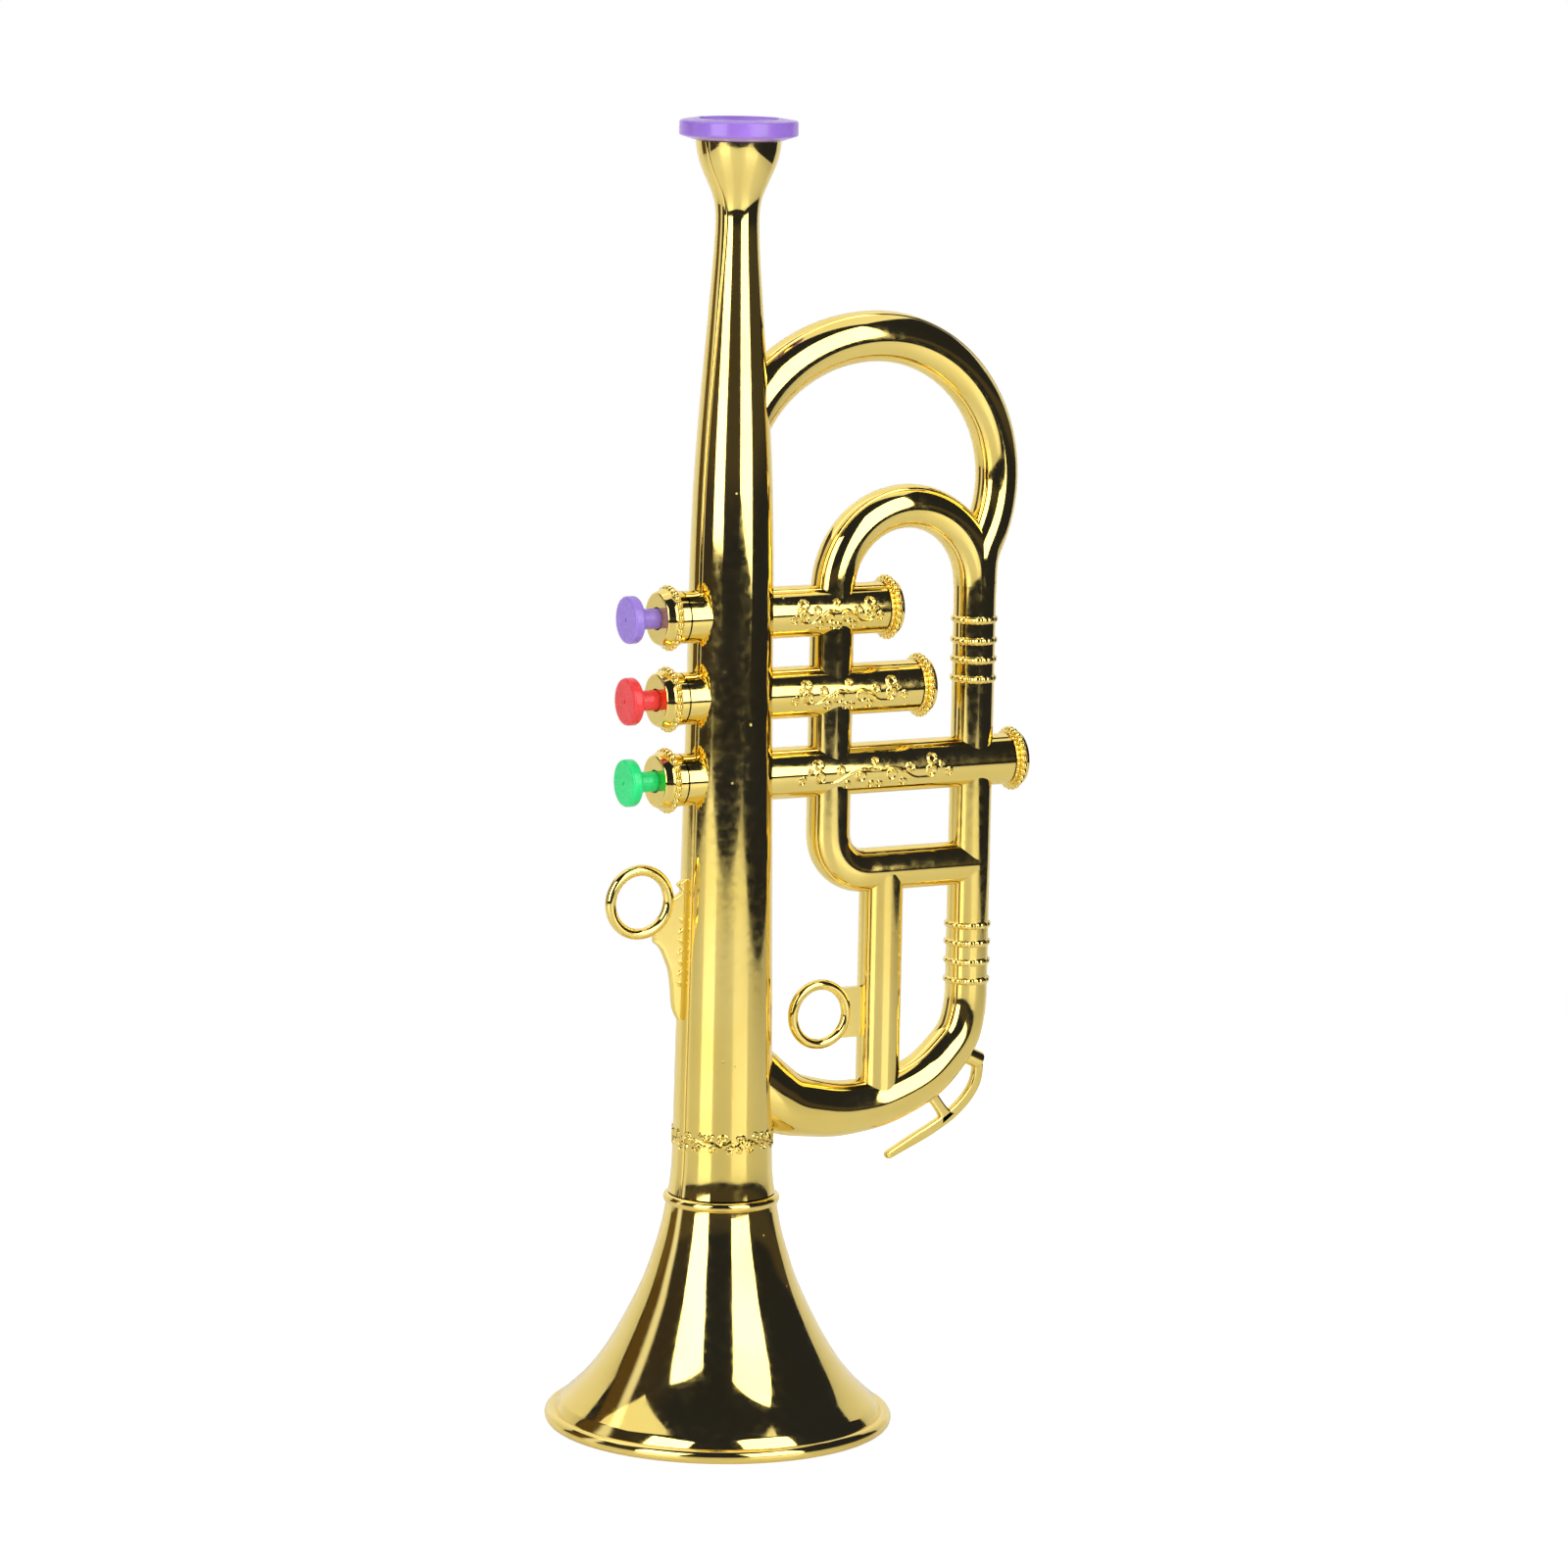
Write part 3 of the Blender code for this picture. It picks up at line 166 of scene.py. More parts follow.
class TrumpetValves(bpy.types.PropertyGroup):
    """Sizes of the casings, caps and keys."""

    casing: size("Casing radius", "Outer radius of a valve casing", 7.35)
    casing_reach: size("Casing key reach", "Reach of a casing's key end", 15.7)
    bore: size("Casing bore", "Inner radius of a casing", 5.85)
    clearance: size("Clearance", "Gap between a cap and its casing", 0.3)
    disc_height: size("End disc height", "Height of an end cap's disc over its bead ring", 2.1)
    disc: size("End disc radius", "Radius of an end cap's disc", 8)
    bead: size("Bead ring radius", "Radius over the beads of a cap", 9.25)
    bead_depth: size("Bead depth", "How deep the gaps between the beads are", 1.2)
    bead_count: bpy.props.IntProperty(name="Beads", description="Beads round a cap",
                                      default=26, min=8)
    spigot: size("Cap spigot length", "Length of a cap's spigot inside its casing", 5)
    face: size("Valve cap face", "Distance of a valve cap's face from its casing", 7.3)
    key: size("Key radius", "Radius of a key's button", 6.67)
    key_height: size("Key thickness", "Thickness of a key's button", 3.15)
    key_clear: size("Key clearance", "Clear height under a key's button", 6.45)
    dimple: size("Key dimple", "Radius of the gate mark in a key's face", 0.45)
    stem: size("Stem radius", "Radius of a key's stem", 2.9)
    rod: size("Push rod radius", "Radius of a key's push rod", 1.5)
    rod_head: size("Push rod head", "Radius of the head behind the pad", 2.6)
    coil: size("Spring radius", "Radius of a key spring's coil", 2.5)
    wire: size("Spring wire", "Radius of a key spring's wire", 0.3)


class TrumpetBell(bpy.types.PropertyGroup):
    """Sizes of the bell and the mouthpiece rim."""

    radius: size("Bell radius", "Outer radius of the bell's rim", 49.5)
    throat: size("Throat radius", "Outer radius of the bell under its collar", 15.7)
    wall: size("Bell wall", "Thickness of the bell's wall", 1.8)
    rim_bead: size("Rim bead", "Radius of the bell's rolled rim", 2)
    flat: size("Rim flat", "Width of the flat that the trumpet stands on", 2.6)
    collar_height: size("Collar height", "Height of the collar bead", 65.2)
    collar: size("Collar radius", "Outer radius of the collar bead", 16.6)
    collar_bead: size("Collar bead", "Radius of the collar bead's section", 1.5)
    spigot: size("Spigot radius", "Outer radius of the spigot inside the body", 12.5)
    spigot_wall: size("Spigot wall", "Wall of that spigot", 1.4)
    spigot_length: size("Spigot length", "Length of that spigot", 8)
    rim: size("Mouthpiece radius", "Outer radius of the mouthpiece rim", 16.5)
    rim_height: size("Mouthpiece height", "Thickness of the mouthpiece rim", 6)
    rim_bore: size("Mouthpiece bore", "Radius of the mouthpiece rim's hole", 11)


class TrumpetRings(bpy.types.PropertyGroup):
    """Sizes of the finger ring, thumb ring and water key."""

    finger_reach: size("Finger ring reach", "Reach of the finger ring's centre", 27.3)
    finger_height: size("Finger ring height", "Height of the finger ring's centre", 151.85)
    finger: size("Finger ring radius", "Radius of the finger ring", 9.05)
    finger_wire: size("Finger ring thickness", "Radius of the finger ring's section", 1.57)
    web: size("Web thickness", "Thickness of the leaf web", 2.2)
    web_length: size("Web length", "Length of the leaf web below the ring's centre", 36)
    thumb_reach: size("Thumb ring reach", "Reach of the thumb ring's centre", 30.7)
    thumb_height: size("Thumb ring height", "Height of the thumb ring's centre", 115.4)
    thumb: size("Thumb ring radius", "Radius of the thumb ring", 8.6)
    thumb_wire: size("Thumb ring thickness", "Radius of the thumb ring's section", 1.5)
    tab: size("Thumb tab", "Half height of the thumb ring's tab", 7.2)
    nipple_reach: size("Nipple reach", "Reach of the water key nipple's foot", 76.5)
    nipple_height: size("Nipple height", "Height of the water key nipple's foot", 101.2)
    nipple_length: size("Nipple length", "Length of the water key's nipple", 8.4)
    nipple: size("Nipple radius", "Radius of the water key's nipple", 2.6)
    nipple_angle: angle("Nipple angle", "Slope of the water key's nipple", -26)
    lever_span: size("Lever span", "How far the lever runs back under the bow", 30.2)
    lever_drop: size("Lever drop", "How far the lever's tip hangs below the nipple", 25.6)
    lever: size("Lever half width", "Half width of the lever", 1.6)
    lever_thickness: size("Lever thickness", "Thickness of the lever", 2.4)


class TrumpetFinish(bpy.types.PropertyGroup):
    """Colours and gloss."""

    gilt: tint("Gilt", "Colour of the metallised plastic", (0.95, 0.74, 0.22))
    gilt_deep: tint("Deep gilt", "Colour where the metallised coat is thicker", (0.92, 0.70, 0.18))
    gilt_gloss: share("Gilt roughness", "Roughness of the metallised plastic", 0.07)
    purple: tint("Purple", "Colour of the mouthpiece rim", (0.40, 0.21, 0.79))
    lilac: tint("Lilac", "Colour of the first key", (0.38, 0.24, 0.77))
    red: tint("Red", "Colour of the second key", (1.0, 0.055, 0.055))
    green: tint("Green", "Colour of the third key", (0.015, 0.88, 0.24))
    rubber: tint("Rubber", "Colour of the pads", (0.03, 0.03, 0.03))
    steel: tint("Steel", "Colour of the springs", (0.62, 0.63, 0.65))
    brass: tint("Brass", "Colour of the reeds", (0.80, 0.62, 0.30))
    white: tint("White", "Colour of the reed block", (0.85, 0.85, 0.82))


class TrumpetStudio(bpy.types.PropertyGroup):
    """Camera, softboxes, backdrop and floor."""

    distance: size("Camera distance", "Level distance from the main tube's axis", 1668.8)
    height: size("Camera height", "Height of the camera above the floor", 451)
    azimuth: angle("Camera azimuth", "Camera's place left of the front", 27.82)
    yaw: angle("Camera yaw", "Camera's turn to the right", 0.54)
    pitch: angle("Camera pitch", "Camera's tilt downwards", 9.09)
    roll: angle("Camera roll", "Camera's turn about its own line of sight", 1.04)
    lens: bpy.props.FloatProperty(name="Lens", default=138.164,
                                  description="Focal length in millimetres, 36 mm sensor")
    left_place: place("Left softbox", (-838.9, 1060.7, 712.7))
    left_turn: turn("Left softbox", (18.6, -40.9, -0.7))
    right_place: place("Right softbox", (684.0, 893.6, 788.0))
    right_turn: turn("Right softbox", (13.1, 62.6, -6.8))
    left_width: size("Left softbox width", "Width of the left softbox", 800)
    right_width: size("Right softbox width", "Width of the right softbox", 900)
    left_height: size("Left softbox height", "Height of the left softbox", 1210)
    right_height: size("Right softbox height", "Height of the right softbox", 1280)
    overhead_place: place("Overhead panel", (-240.0, -550.0, 920.0))
    overhead_turn: turn("Overhead panel", (90, 0, 0))
    overhead_width: size("Overhead panel width", "Width of the panel over the trumpet", 1320)
    overhead_height: size("Overhead panel depth", "Depth of the panel over the trumpet", 1300)
    overhead_power: share("Overhead panel power", "Power per square metre, in watts", 3.0, 100)
    left_power: share("Left softbox power", "Power per square metre, in watts", 11.9, 100)
    right_power: share("Right softbox power", "Power per square metre, in watts", 10.4, 100)
    unlit: tint("Unlit studio", "Colour of the studio round the table", (0.020, 0.022, 0.045))
    unlit_left: tint("Unlit studio at left", "Colour of the studio left of the left softbox",
                     (0.040, 0.034, 0.045))
    haze: tint("Haze", "Light that the studio adds near eye level", (0.042, 0.032, 0.012))
    panel: tint("Dark panel", "Colour of the dark panel far at left", (0.10, 0.064, 0.032))
    strip: tint("Pale strip", "Colour of the pale strip beside that panel", (0.88, 0.90, 1.1))
    floor: share("Floor paleness", "Share of light that the table sends back", 0.8)
    sheet: share("Backdrop paleness", "Share of light that the backdrop sends back", 0.8)
    # painted light: the table and the backdrop glow by these strengths for every ray but camera
    # rays, though they are no lamps
    floor_glow: share("Table glow", "Extra brightness of the table, unseen by the camera", 0.09)
    side_glow: share("Table's sides", "The same at the table's left and right", 0.18)
    sheet_glow: share("Backdrop glow", "Extra brightness of the backdrop", 0.15)
    table_near: size("Table's near edge", "Distance of the near edge towards the camera", 1120)
    table_left: size("Table's left edge", "Distance of the left edge", 1120)
    table_right: size("Table's right edge", "Distance of the right edge beside the trumpet", 820)
    table_splay: angle("Table's splay", "Turn of the right edge away from the line of sight", 2)
    sheet_distance: size("Backdrop distance", "Distance of the backdrop behind the trumpet", 600)
    sheet_height: size("Backdrop height", "Height of the backdrop", 600)


def tubes():
    """The body's sizes."""
    return bpy.context.scene.trumpet_tubes


def valves():
    """The valves' sizes."""
    return bpy.context.scene.trumpet_valves


# Shapes given as shares of a stretch, which keep their form when its sizes change

# Height and radius along the main tube's four stretches, each from its narrow end
CUP = ((0.19, 0.05), (0.33, 0.22), (0.57, 0.61), (0.72, 0.82), (0.867, 0.957), (1, 1))
LEADPIPE = ((0, 0), (0.09, 0.06), (0.23, 0.24), (0.37, 0.42), (0.51, 0.61), (0.64, 0.77),
            (0.79, 0.90), (1, 1))
VALVE_TUBE = ((0.22, 0.14), (0.41, 0.34), (0.62, 0.57), (0.82, 0.80), (1, 1))
FOOT = ((0.65, 0.45), (1, 1))
# Height and radius of the bell, from near its rim up to its collar
BELL_FLARE = ((0.095, 0.872), (0.140, 0.775), (0.205, 0.655), (0.294, 0.527), (0.413, 0.391),
              (0.528, 0.278), (0.641, 0.180), (0.753, 0.107), (0.865, 0.044), (0.959, 0.009))
# Reach, height and tube radius of the lower bow, from the right leg back to the main tube
LOWER_BOW = ((1.0, 1.0, 0.0), (0.978, 0.656, 0.20), (0.912, 0.43, 0.425), (0.835, 0.246, 0.575),
             (0.724, 0.111, 0.675), (0.60, 0.02, 0.75), (0.47, 0.0, 1.0), (0.345, 0.046, 1.275),
             (0.254, 0.098, 1.625), (0.178, 0.213, 1.975), (0.102, 0.393, 1.925),
             (0.045, 0.557, 1.475))
# Reach and drop of the web's outer edge, below the finger ring and above its middle
WEB_EDGE = ((0.543, 0.957), (0.571, 0.925), (0.599, 0.876), (0.617, 0.799), (0.625, 0.718),
            (0.638, 0.640), (0.654, 0.5625), (0.695, 0.482), (0.7425, 0.401), (0.781, 0.360),
            (0.841, 0.318), (0.842, 0.25))
WEB_BARB = ((0.607, -0.021), (0.557, -0.043), (0.529, -0.0625), (0.549, -0.093), (0.575, -0.118),
            (0.535, -0.140), (0.487, -0.1625))
# Reach and drop of the water key's lever, and of the two ends of its post
LEVER = ((0.0, 0.0), (0.014, 0.196), (0.11, 0.39), (0.276, 0.57), (0.48, 0.712), (0.76, 0.867),
         (1.0, 1.0))
POST_ENDS = ((0.57, 0.24), (0.33, 0.62))

# Heights, pitch and reach of the scroll band, and heights of the bend under the cup
SCROLL_BAND = (79.2 * MM, 87.2 * MM)
SCROLL_PITCH, SCROLL_REACH = 8.4 * MM, 3.2 * MM
CUP_FOOT = (341 * MM, 346 * MM)
# Half width of a band on the right leg, width of the step behind an end cap's beads, and
# rounding of the flat plates
BAND_HALF = 0.9 * MM
CAP_STEP = 1.95 * MM
PLATE_EDGE = 0.5 * MM
# Length, width and height of a leaf on the finger ring's web
LEAF = (1.15 * MM, 0.55 * MM, 0.4 * MM)

# In millimetres: heights of the leg's bands, and middle and half length of each casing's scroll
LEG_BANDS = (227.0, 221.0, 215.5, 210.0, 138.5, 133.3, 127.8, 122.3)
CASING_SCROLLS = ((30.2, 10.6), (34.6, 13.6), (43.6, 18.4))
# Reach and rise of the saddles where a casing's key end meets the main tube
SADDLES = ((-15.7, 0.0), (-12.2, 0.0), (-11.2, 0.5), (-10.2, 1.4), (-9.2, 2.5), (-8.4, 3.0),
           (-7.4, 3.2))
# Place as a share of the half length, then height, radius, start angle, turns, width and
# narrowing of the curls of a casing's scroll, and place and height of its stem
CASING_CURLS = ((0.97, -0.9, 1.7, -1.4, 1.25, 0.44, 0.5), (0.26, -1.2, 1.8, 1.6, -1.25, 0.44, 0.5),
                (0.50, -3.6, 1.15, 2.0, 1.0, 0.40, 0.3), (0.08, -3.9, 1.05, 2.0, 1.0, 0.38, 0.3),
                (1.30, -1.6, 1.1, 1.0, 1.1, 0.40, 0.4), (0.62, 0.6, 1.2, 2.5, 1.0, 0.40, 0.3))
CASING_STEM = ((0, 0.5), (0.26, 0.75), (0.48, -0.6), (0.72, -2.5), (0.95, -2.6))


# Curves and profiles


def through(places, values, at):
    """Smooth curve through points, made of cubics.

    The slope at a point is the harmonic mean of its neighbours' slopes, and zero where these
    differ in sign, so that the curve never overshoots.
    """
    places, values, at = (np.asarray(item, float) for item in (places, values, at))
    run = np.diff(places)
    rise = np.diff(values) / run
    product = rise[:-1] * rise[1:]
    total = np.where(product > 0, rise[:-1] + rise[1:], 1.0)
    slopes = np.concatenate([rise[:1], np.where(product > 0, 2 * product / total, 0.0), rise[-1:]])
    index = np.clip(np.searchsorted(places, at) - 1, 0, len(run) - 1)
    t = (at - places[index]) / run[index]
    a, b = values[index], values[index + 1]
    slope_a, slope_b = slopes[index] * run[index], slopes[index + 1] * run[index]
    return (a * (1 + 2 * t) * (1 - t) ** 2 + slope_a * t * (1 - t) ** 2
            + b * t * t * (3 - 2 * t) + slope_b * t * t * (t - 1))


def stretch(shares, height, run, radius, end_radius):
    """Heights and radii from shares: height + run p and radius + (end radius - radius) q."""
    shares = np.array(shares)
    return np.stack([height + run * shares[:, 0], radius + (end_radius - radius) * shares[:, 1]], 1)


def at_places(places, length, columns):
    """Columns that are known along a length, read at other places."""
    return [np.interp(places, length, column) for column in columns]


def blurred(values, spacing, softness):
    """Gaussian mean of evenly spaced values that keeps both ends in place."""
    reach = int(3 * softness / spacing) + 1
    offsets = np.arange(-reach, reach + 1) * spacing
    weights = np.exp(-0.5 * (offsets / softness) ** 2)
    weights /= weights.sum()
    head = 2 * values[0] - values[1:reach + 1][::-1]
    tail = 2 * values[-1] - values[-reach - 1:-1][::-1]
    return np.convolve(np.concatenate([head, values, tail]), weights, "valid")


def softened(points, radii, softness, spacing=0.25 * MM):
    """Line of (reach, height) points and its radii, evenly spaced and under a Gaussian mean."""
    points = np.asarray(points, float)
    steps = np.hypot(*np.diff(points, axis=0).T)
    length = np.concatenate([[0], np.cumsum(steps)])
    even = np.linspace(0, length[-1], int(length[-1] / spacing) + 1)
    columns = at_places(even, length, (*points.T, np.asarray(radii, float)))
    return even, *(blurred(column, even[1], softness) for column in columns)


def arc(centre, radius, start, end, count=80):
    """Points on a circle from one angle to another, with both ends."""
    angles = np.linspace(start, end, count)
    return np.stack([centre[0] + radius * np.cos(angles), centre[1] + radius * np.sin(angles)], 1)


def filleted(points, reaches, steps=6):
    """Outline with rounded corners, whose reaches are given in millimetres by corner number.

    A corner P with reach f becomes the quadratic curve from P - f u to P + f v, where u and v
    are the directions of the two sides, with one more point just outside each end, so that the
    flat sides keep an even shade.
    """
    points = np.asarray(points, float)
    count = len(points)
    reaches = {corner % count: reach * MM for corner, reach in reaches.items()}
    outline = []
    t = np.linspace(0, 1, steps + 1)[:, None]
    for index, point in enumerate(points):
        if index not in reaches:
            outline.append(point[None])
            continue
        reach = reaches[index]
        before, after = points[index - 1] - point, points[(index + 1) % count] - point
        before, after = before / np.hypot(*before), after / np.hypot(*after)
        near, far = point + before * reach, point + after * reach
        curve = near * (1 - t) ** 2 + 2 * point * t * (1 - t) + far * t * t
        outline.append(np.vstack([near + before * reach * 0.2, curve, far + after * reach * 0.2]))
    return np.vstack(outline)


def stations(start, end, spacing, fine=()):
    """Places from start to end at a spacing, with finer ranges (low, high, spacing) in between."""
    places = [np.linspace(start, end, int(abs(end - start) / spacing) + 1)]
    for low, high, step in fine:
        places.append(np.linspace(low, high, int((high - low) / step) + 1))
    places = np.unique(np.round(np.concatenate(places), 7))
    return places[np.concatenate([[True], np.diff(places) > 0.02 * MM])]


def tangent(path):
    """Direction of a path at each of its points."""
    run = np.gradient(path, axis=0)
    return run / np.linalg.norm(run, axis=1)[:, None]


# Solids as (points, groups of faces)


def facing_out(points, groups):
    """The same solid with its faces turned outwards, by the sign of the volume they enclose.

    The volume is a sixth of the sum of a . (b x c) over the triangles of every face.
    """
    points = np.asarray(points, float).reshape(-1, 3)
    centred = points - points.mean(0)
    volume = 0.0
    for group in groups:
        for corner in range(1, group.shape[1] - 1):
            b, c = centred[group[:, corner]], centred[group[:, corner + 1]]
            volume += np.einsum("ij,ij->", centred[group[:, 0]], np.cross(b, c))
    return points, groups if volume > 0 else [group[:, ::-1] for group in groups]


def grid_faces(rows, columns, wrap_rows=False):
    """Quads between neighbours of a grid whose columns close on themselves."""
    row, column = np.meshgrid(np.arange(rows if wrap_rows else rows - 1), np.arange(columns),
                              indexing="ij")
    here, next_row = row * columns, (row + 1) % rows * columns
    beside = (column + 1) % columns
    quads = [here + column, here + beside, next_row + beside, next_row + column]
    return np.stack(quads, -1).reshape(-1, 4)


def end_faces(rows, columns):
    """One face over each open end of a grid whose columns close on themselves."""
    column = np.arange(columns)[None]
    return [column[:, ::-1], column + (rows - 1) * columns]


def pole_faces(count, total):
    """Triangles from a grid's first and last ring to two poles that follow its points."""
    column = np.arange(count)
    beside = (column + 1) % count
    last = total - count
    return [np.stack([np.full(count, total), beside, column], 1),
            np.stack([np.full(count, total + 1), last + column, last + beside], 1)]


def half_tube(line, height, radii, side, steps, relief=None, inner_steps=14):
    """Half of a hollow tube along a line in the middle plane, cut off at the parting plane.

    A section's outer arc is centre + r (cos a, sin a) across the line and along Y, with a on the
    shell's side of the plane y = -cut. The corner at the seam is a quadratic curve, and an inner
    arc of radius r - wall closes the loop. A relief adds its height to r.
    """
    line, height, radii = (np.array(item, float)
                           for item in np.broadcast_arrays(line, height, radii))
    sizes = tubes()
    cut = sizes.setback - side * sizes.seam / 2
    run = np.gradient(np.stack([line, height], 1), axis=0)
    run /= np.hypot(*run.T)[:, None]
    inner = radii - sizes.wall

    def turned_angles(radius, trim, count):
        reach = np.pi / 2 + side * np.arcsin(cut / radius) - trim / radius
        return side * np.pi / 2 + reach[:, None] * np.linspace(-1, 1, count + 1)

    def on_arc(radius, angles):
        return np.stack([radius * np.cos(angles), radius * np.sin(angles)], -1)

    outer_angles = turned_angles(radii, sizes.edge, steps)
    outer_radii = radii[:, None] * np.ones(steps + 1)
    if relief is not None:
        outer_radii = outer_radii + relief(outer_angles - side * np.pi / 2)
    outer = on_arc(outer_radii, outer_angles)
    inside = on_arc(inner[:, None], turned_angles(inner, 0.0, inner_steps))
    t = np.array([1 / 3, 2 / 3, 1])[:, None]
    corners = []
    for end, sign in ((-1, -side), (0, side)):
        last, level = outer_radii[:, end], np.full(len(radii), -cut)
        corner, seam = (np.stack([sign * np.sqrt(edge ** 2 - cut ** 2), level], -1)[:, None]
                        for edge in (last, last - sizes.edge))
        corners.append(outer[:, end][:, None] * (1 - t) ** 2 + 2 * corner * t * (1 - t)
                       + seam * t * t)
    section = np.concatenate([outer, corners[0], inside[:, ::-1], corners[1][:, ::-1]], 1)
    across, depth = section[..., 0], section[..., 1]
    points = np.stack([AXIS_X + line[:, None] - run[:, 1:] * across, depth,
                       height[:, None] + run[:, :1] * across], -1)
    return facing_out(points, [grid_faces(*across.shape), *end_faces(*across.shape)])


def turned(profile, origin, along, count, swell=None, closed=True):
    """Solid turned about an axis from a profile of (radius, distance along the axis).

    A point is origin + d k + r (cos a e1 + sin a e2). A swell gives r more at each profile point
    and angle. An open profile begins and ends on the axis, where it closes in a pole.
    """
    profile, origin, along = (np.asarray(item, float) for item in (profile, origin, along))
    first = np.array([1.0, 0, 0]) if along[2] else np.array([0, 1.0, 0])
    second = np.cross(along, first)
    body = profile if closed else profile[1:-1]
    angles = np.arange(count) * TURN / count
    radius = body[:, :1] * np.ones(count)
    if swell is not None:
        radius = radius + swell(body, angles)
    rim = np.cos(angles)[:, None] * first + np.sin(angles)[:, None] * second
    points = origin + body[:, 1, None, None] * along + radius[..., None] * rim
    points = points.reshape(-1, 3)
    faces = [grid_faces(len(body), count, wrap_rows=closed)]
    if not closed:
        faces += pole_faces(count, len(points))
        points = np.vstack([points, origin + profile[[0, -1], 1][:, None] * along])
    return facing_out(points, faces)


def swept(path, across, half_width, half_depth, edge, steps=4, ring=False, side=(0, 1, 0),
          flats=False):
    """Bar of rounded rectangular section carried along a path.

    A section is path + a across + b side, where (a, b) runs round a rectangle of the two half
    sizes whose corners are quarter circles of radius edge. Equal sizes make a round wire. With
    flats, one more point on each side of every corner keeps an even shade on the flat sides.
    """
    path = np.asarray(path, float)
    side = np.broadcast_to(np.asarray(side, float), path.shape)
    half_width, half_depth, edge = (np.broadcast_to(np.asarray(item, float), len(path))[:, None]
                                    for item in (half_width, half_depth, edge))
    least = np.minimum(half_width, half_depth)
    edge = np.minimum(edge, 0.7 * least if flats else least)
    corner = np.repeat(np.arange(4), steps)
    angles = (np.arange(4 * steps) + 0.5) / steps * np.pi / 2
    along = np.zeros((2, 4 * steps))
    if flats:
        corner = np.repeat(np.arange(4), steps + 3)
        part = np.tile(np.concatenate([[0], np.linspace(0, 1, steps + 1), [1]]), 4)
        angles = (corner + part) * np.pi / 2
        back = np.tile(np.concatenate([[-0.3], np.zeros(steps + 1), [0.3]]), 4)
        along = back * np.stack([-np.sin(angles), np.cos(angles)])
    sign_a = np.where((corner == 0) | (corner == 3), 1.0, -1.0)
    sign_b = np.where(corner < 2, 1.0, -1.0)
    a = (sign_a + along[0]) * (half_width - edge) + edge * np.cos(angles)
    b = (sign_b + along[1]) * (half_depth - edge) + edge * np.sin(angles)
    points = path[:, None] + a[..., None] * across[:, None] + b[..., None] * side[:, None]
    faces = [grid_faces(*a.shape, wrap_rows=ring)]
    return facing_out(points, faces if ring else faces + end_faces(*a.shape))


def upright(reach, height):
    """Path in the middle plane from reaches and heights, and the direction across it."""
    path = np.stack([AXIS_X + np.asarray(reach), np.zeros(len(reach)), np.asarray(height)], 1)
    return path, np.cross(tangent(path), (0, 1, 0))


def loop(centre, radius, wire, count=120, steps=6):
    """Ring of round wire whose hole faces along Y."""
    angles = np.arange(count) * TURN / count
    across = np.stack([np.cos(angles), np.zeros(count), np.sin(angles)], 1)
    path = np.array([AXIS_X + centre[0], 0, centre[1]]) + radius * across
    return swept(path, across, wire, wire, wire, steps, ring=True)


def show(made):
    """Put an object into the scene."""
    bpy.context.scene.collection.objects.link(made)
    return made


def add_piece(name, packed, solids, finish=None, body="body"):
    """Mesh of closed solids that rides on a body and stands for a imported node.

    Without another finish it is gilt.
    """
    start, points, faces = 0, [], []
    for solid_points, groups in solids:
        points.append(solid_points)
        faces += [face for group in groups for face in (group + start).tolist()]
        start += len(solid_points)
    mesh = bpy.data.meshes.new(name)
    mesh.from_pydata(np.vstack(points).tolist(), [], faces)
    mesh.update()
    mesh.shade_smooth()
    mesh.set_sharp_from_angle(angle=SHARP_ANGLE)
    mesh.materials.append(finish or gilt_finish())
    piece = show(bpy.data.objects.new(name, mesh))
    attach(piece, body)
    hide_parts(packed)
    return piece


def add_halves(makers):
    """Front and rear half of hollow pieces, which stand for the two packed shells.

    Each maker is called with the side and gives that half's solid.
    """
    for side, word in SIDES:
        for name, make in makers.items():
            add_piece(f"{name}_{word}", f"{word}_shell", [make(side)])


# Raised scrollwork


def curl(centre, radius, start, turns, width=0.36 * MM, inward=0.8):
    """Spiral stroke: its radius falls by the share `inward` while its angle runs on."""
    t = np.linspace(0, 1, 70)
    angles = start + TURN * turns * t
    reach = radius * (1 - inward * t)
    return np.stack([centre[0] + reach * np.cos(angles), centre[1] + reach * np.sin(angles),
                     width * (1.05 - 0.35 * t)], 1)


def dots(centre, radius, count, width=0.4 * MM):
    """Rosette: round dots on a small circle and one in its middle."""
    angles = np.arange(count) * TURN / count
    ring = np.stack([centre[0] + radius * np.cos(angles), centre[1] + radius * np.sin(angles),
                     np.full(count, width)], 1)
    return np.vstack([ring, [[*centre, width * 1.1]]])


def scroll(length, pitch, reach):
    """Strokes of a running scroll: pairs of curls off a waved stem, with rosettes between."""
    units = max(int(round(length / pitch)), 1)
    pitch = length / units
    strokes = []
    for unit in range(units):
        at = (unit - (units - 1) / 2) * pitch
        up = 1 if unit % 2 == 0 else -1
        big, small = 0.50 * reach, 0.40 * reach
        t = np.linspace(-0.5, 0.5, 60)
        strokes += [
            curl((at - 0.20 * pitch, up * 0.42 * reach), big, -up * 1.9, up * 1.45),
            curl((at + 0.20 * pitch, -up * 0.42 * reach), small, up * 1.6, up * 1.30),
            curl((at + 0.26 * pitch, up * 0.60 * reach), 0.26 * reach, -up * 1.2, -up * 1.1),
            dots((at - 0.42 * pitch, -up * 0.62 * reach), 0.21 * reach, 5),
            np.stack([at + pitch * t, -up * 0.22 * reach * np.cos(np.pi * t * 2 + 0.4),
                      np.full(60, 0.36 * MM)], 1)]
    return strokes


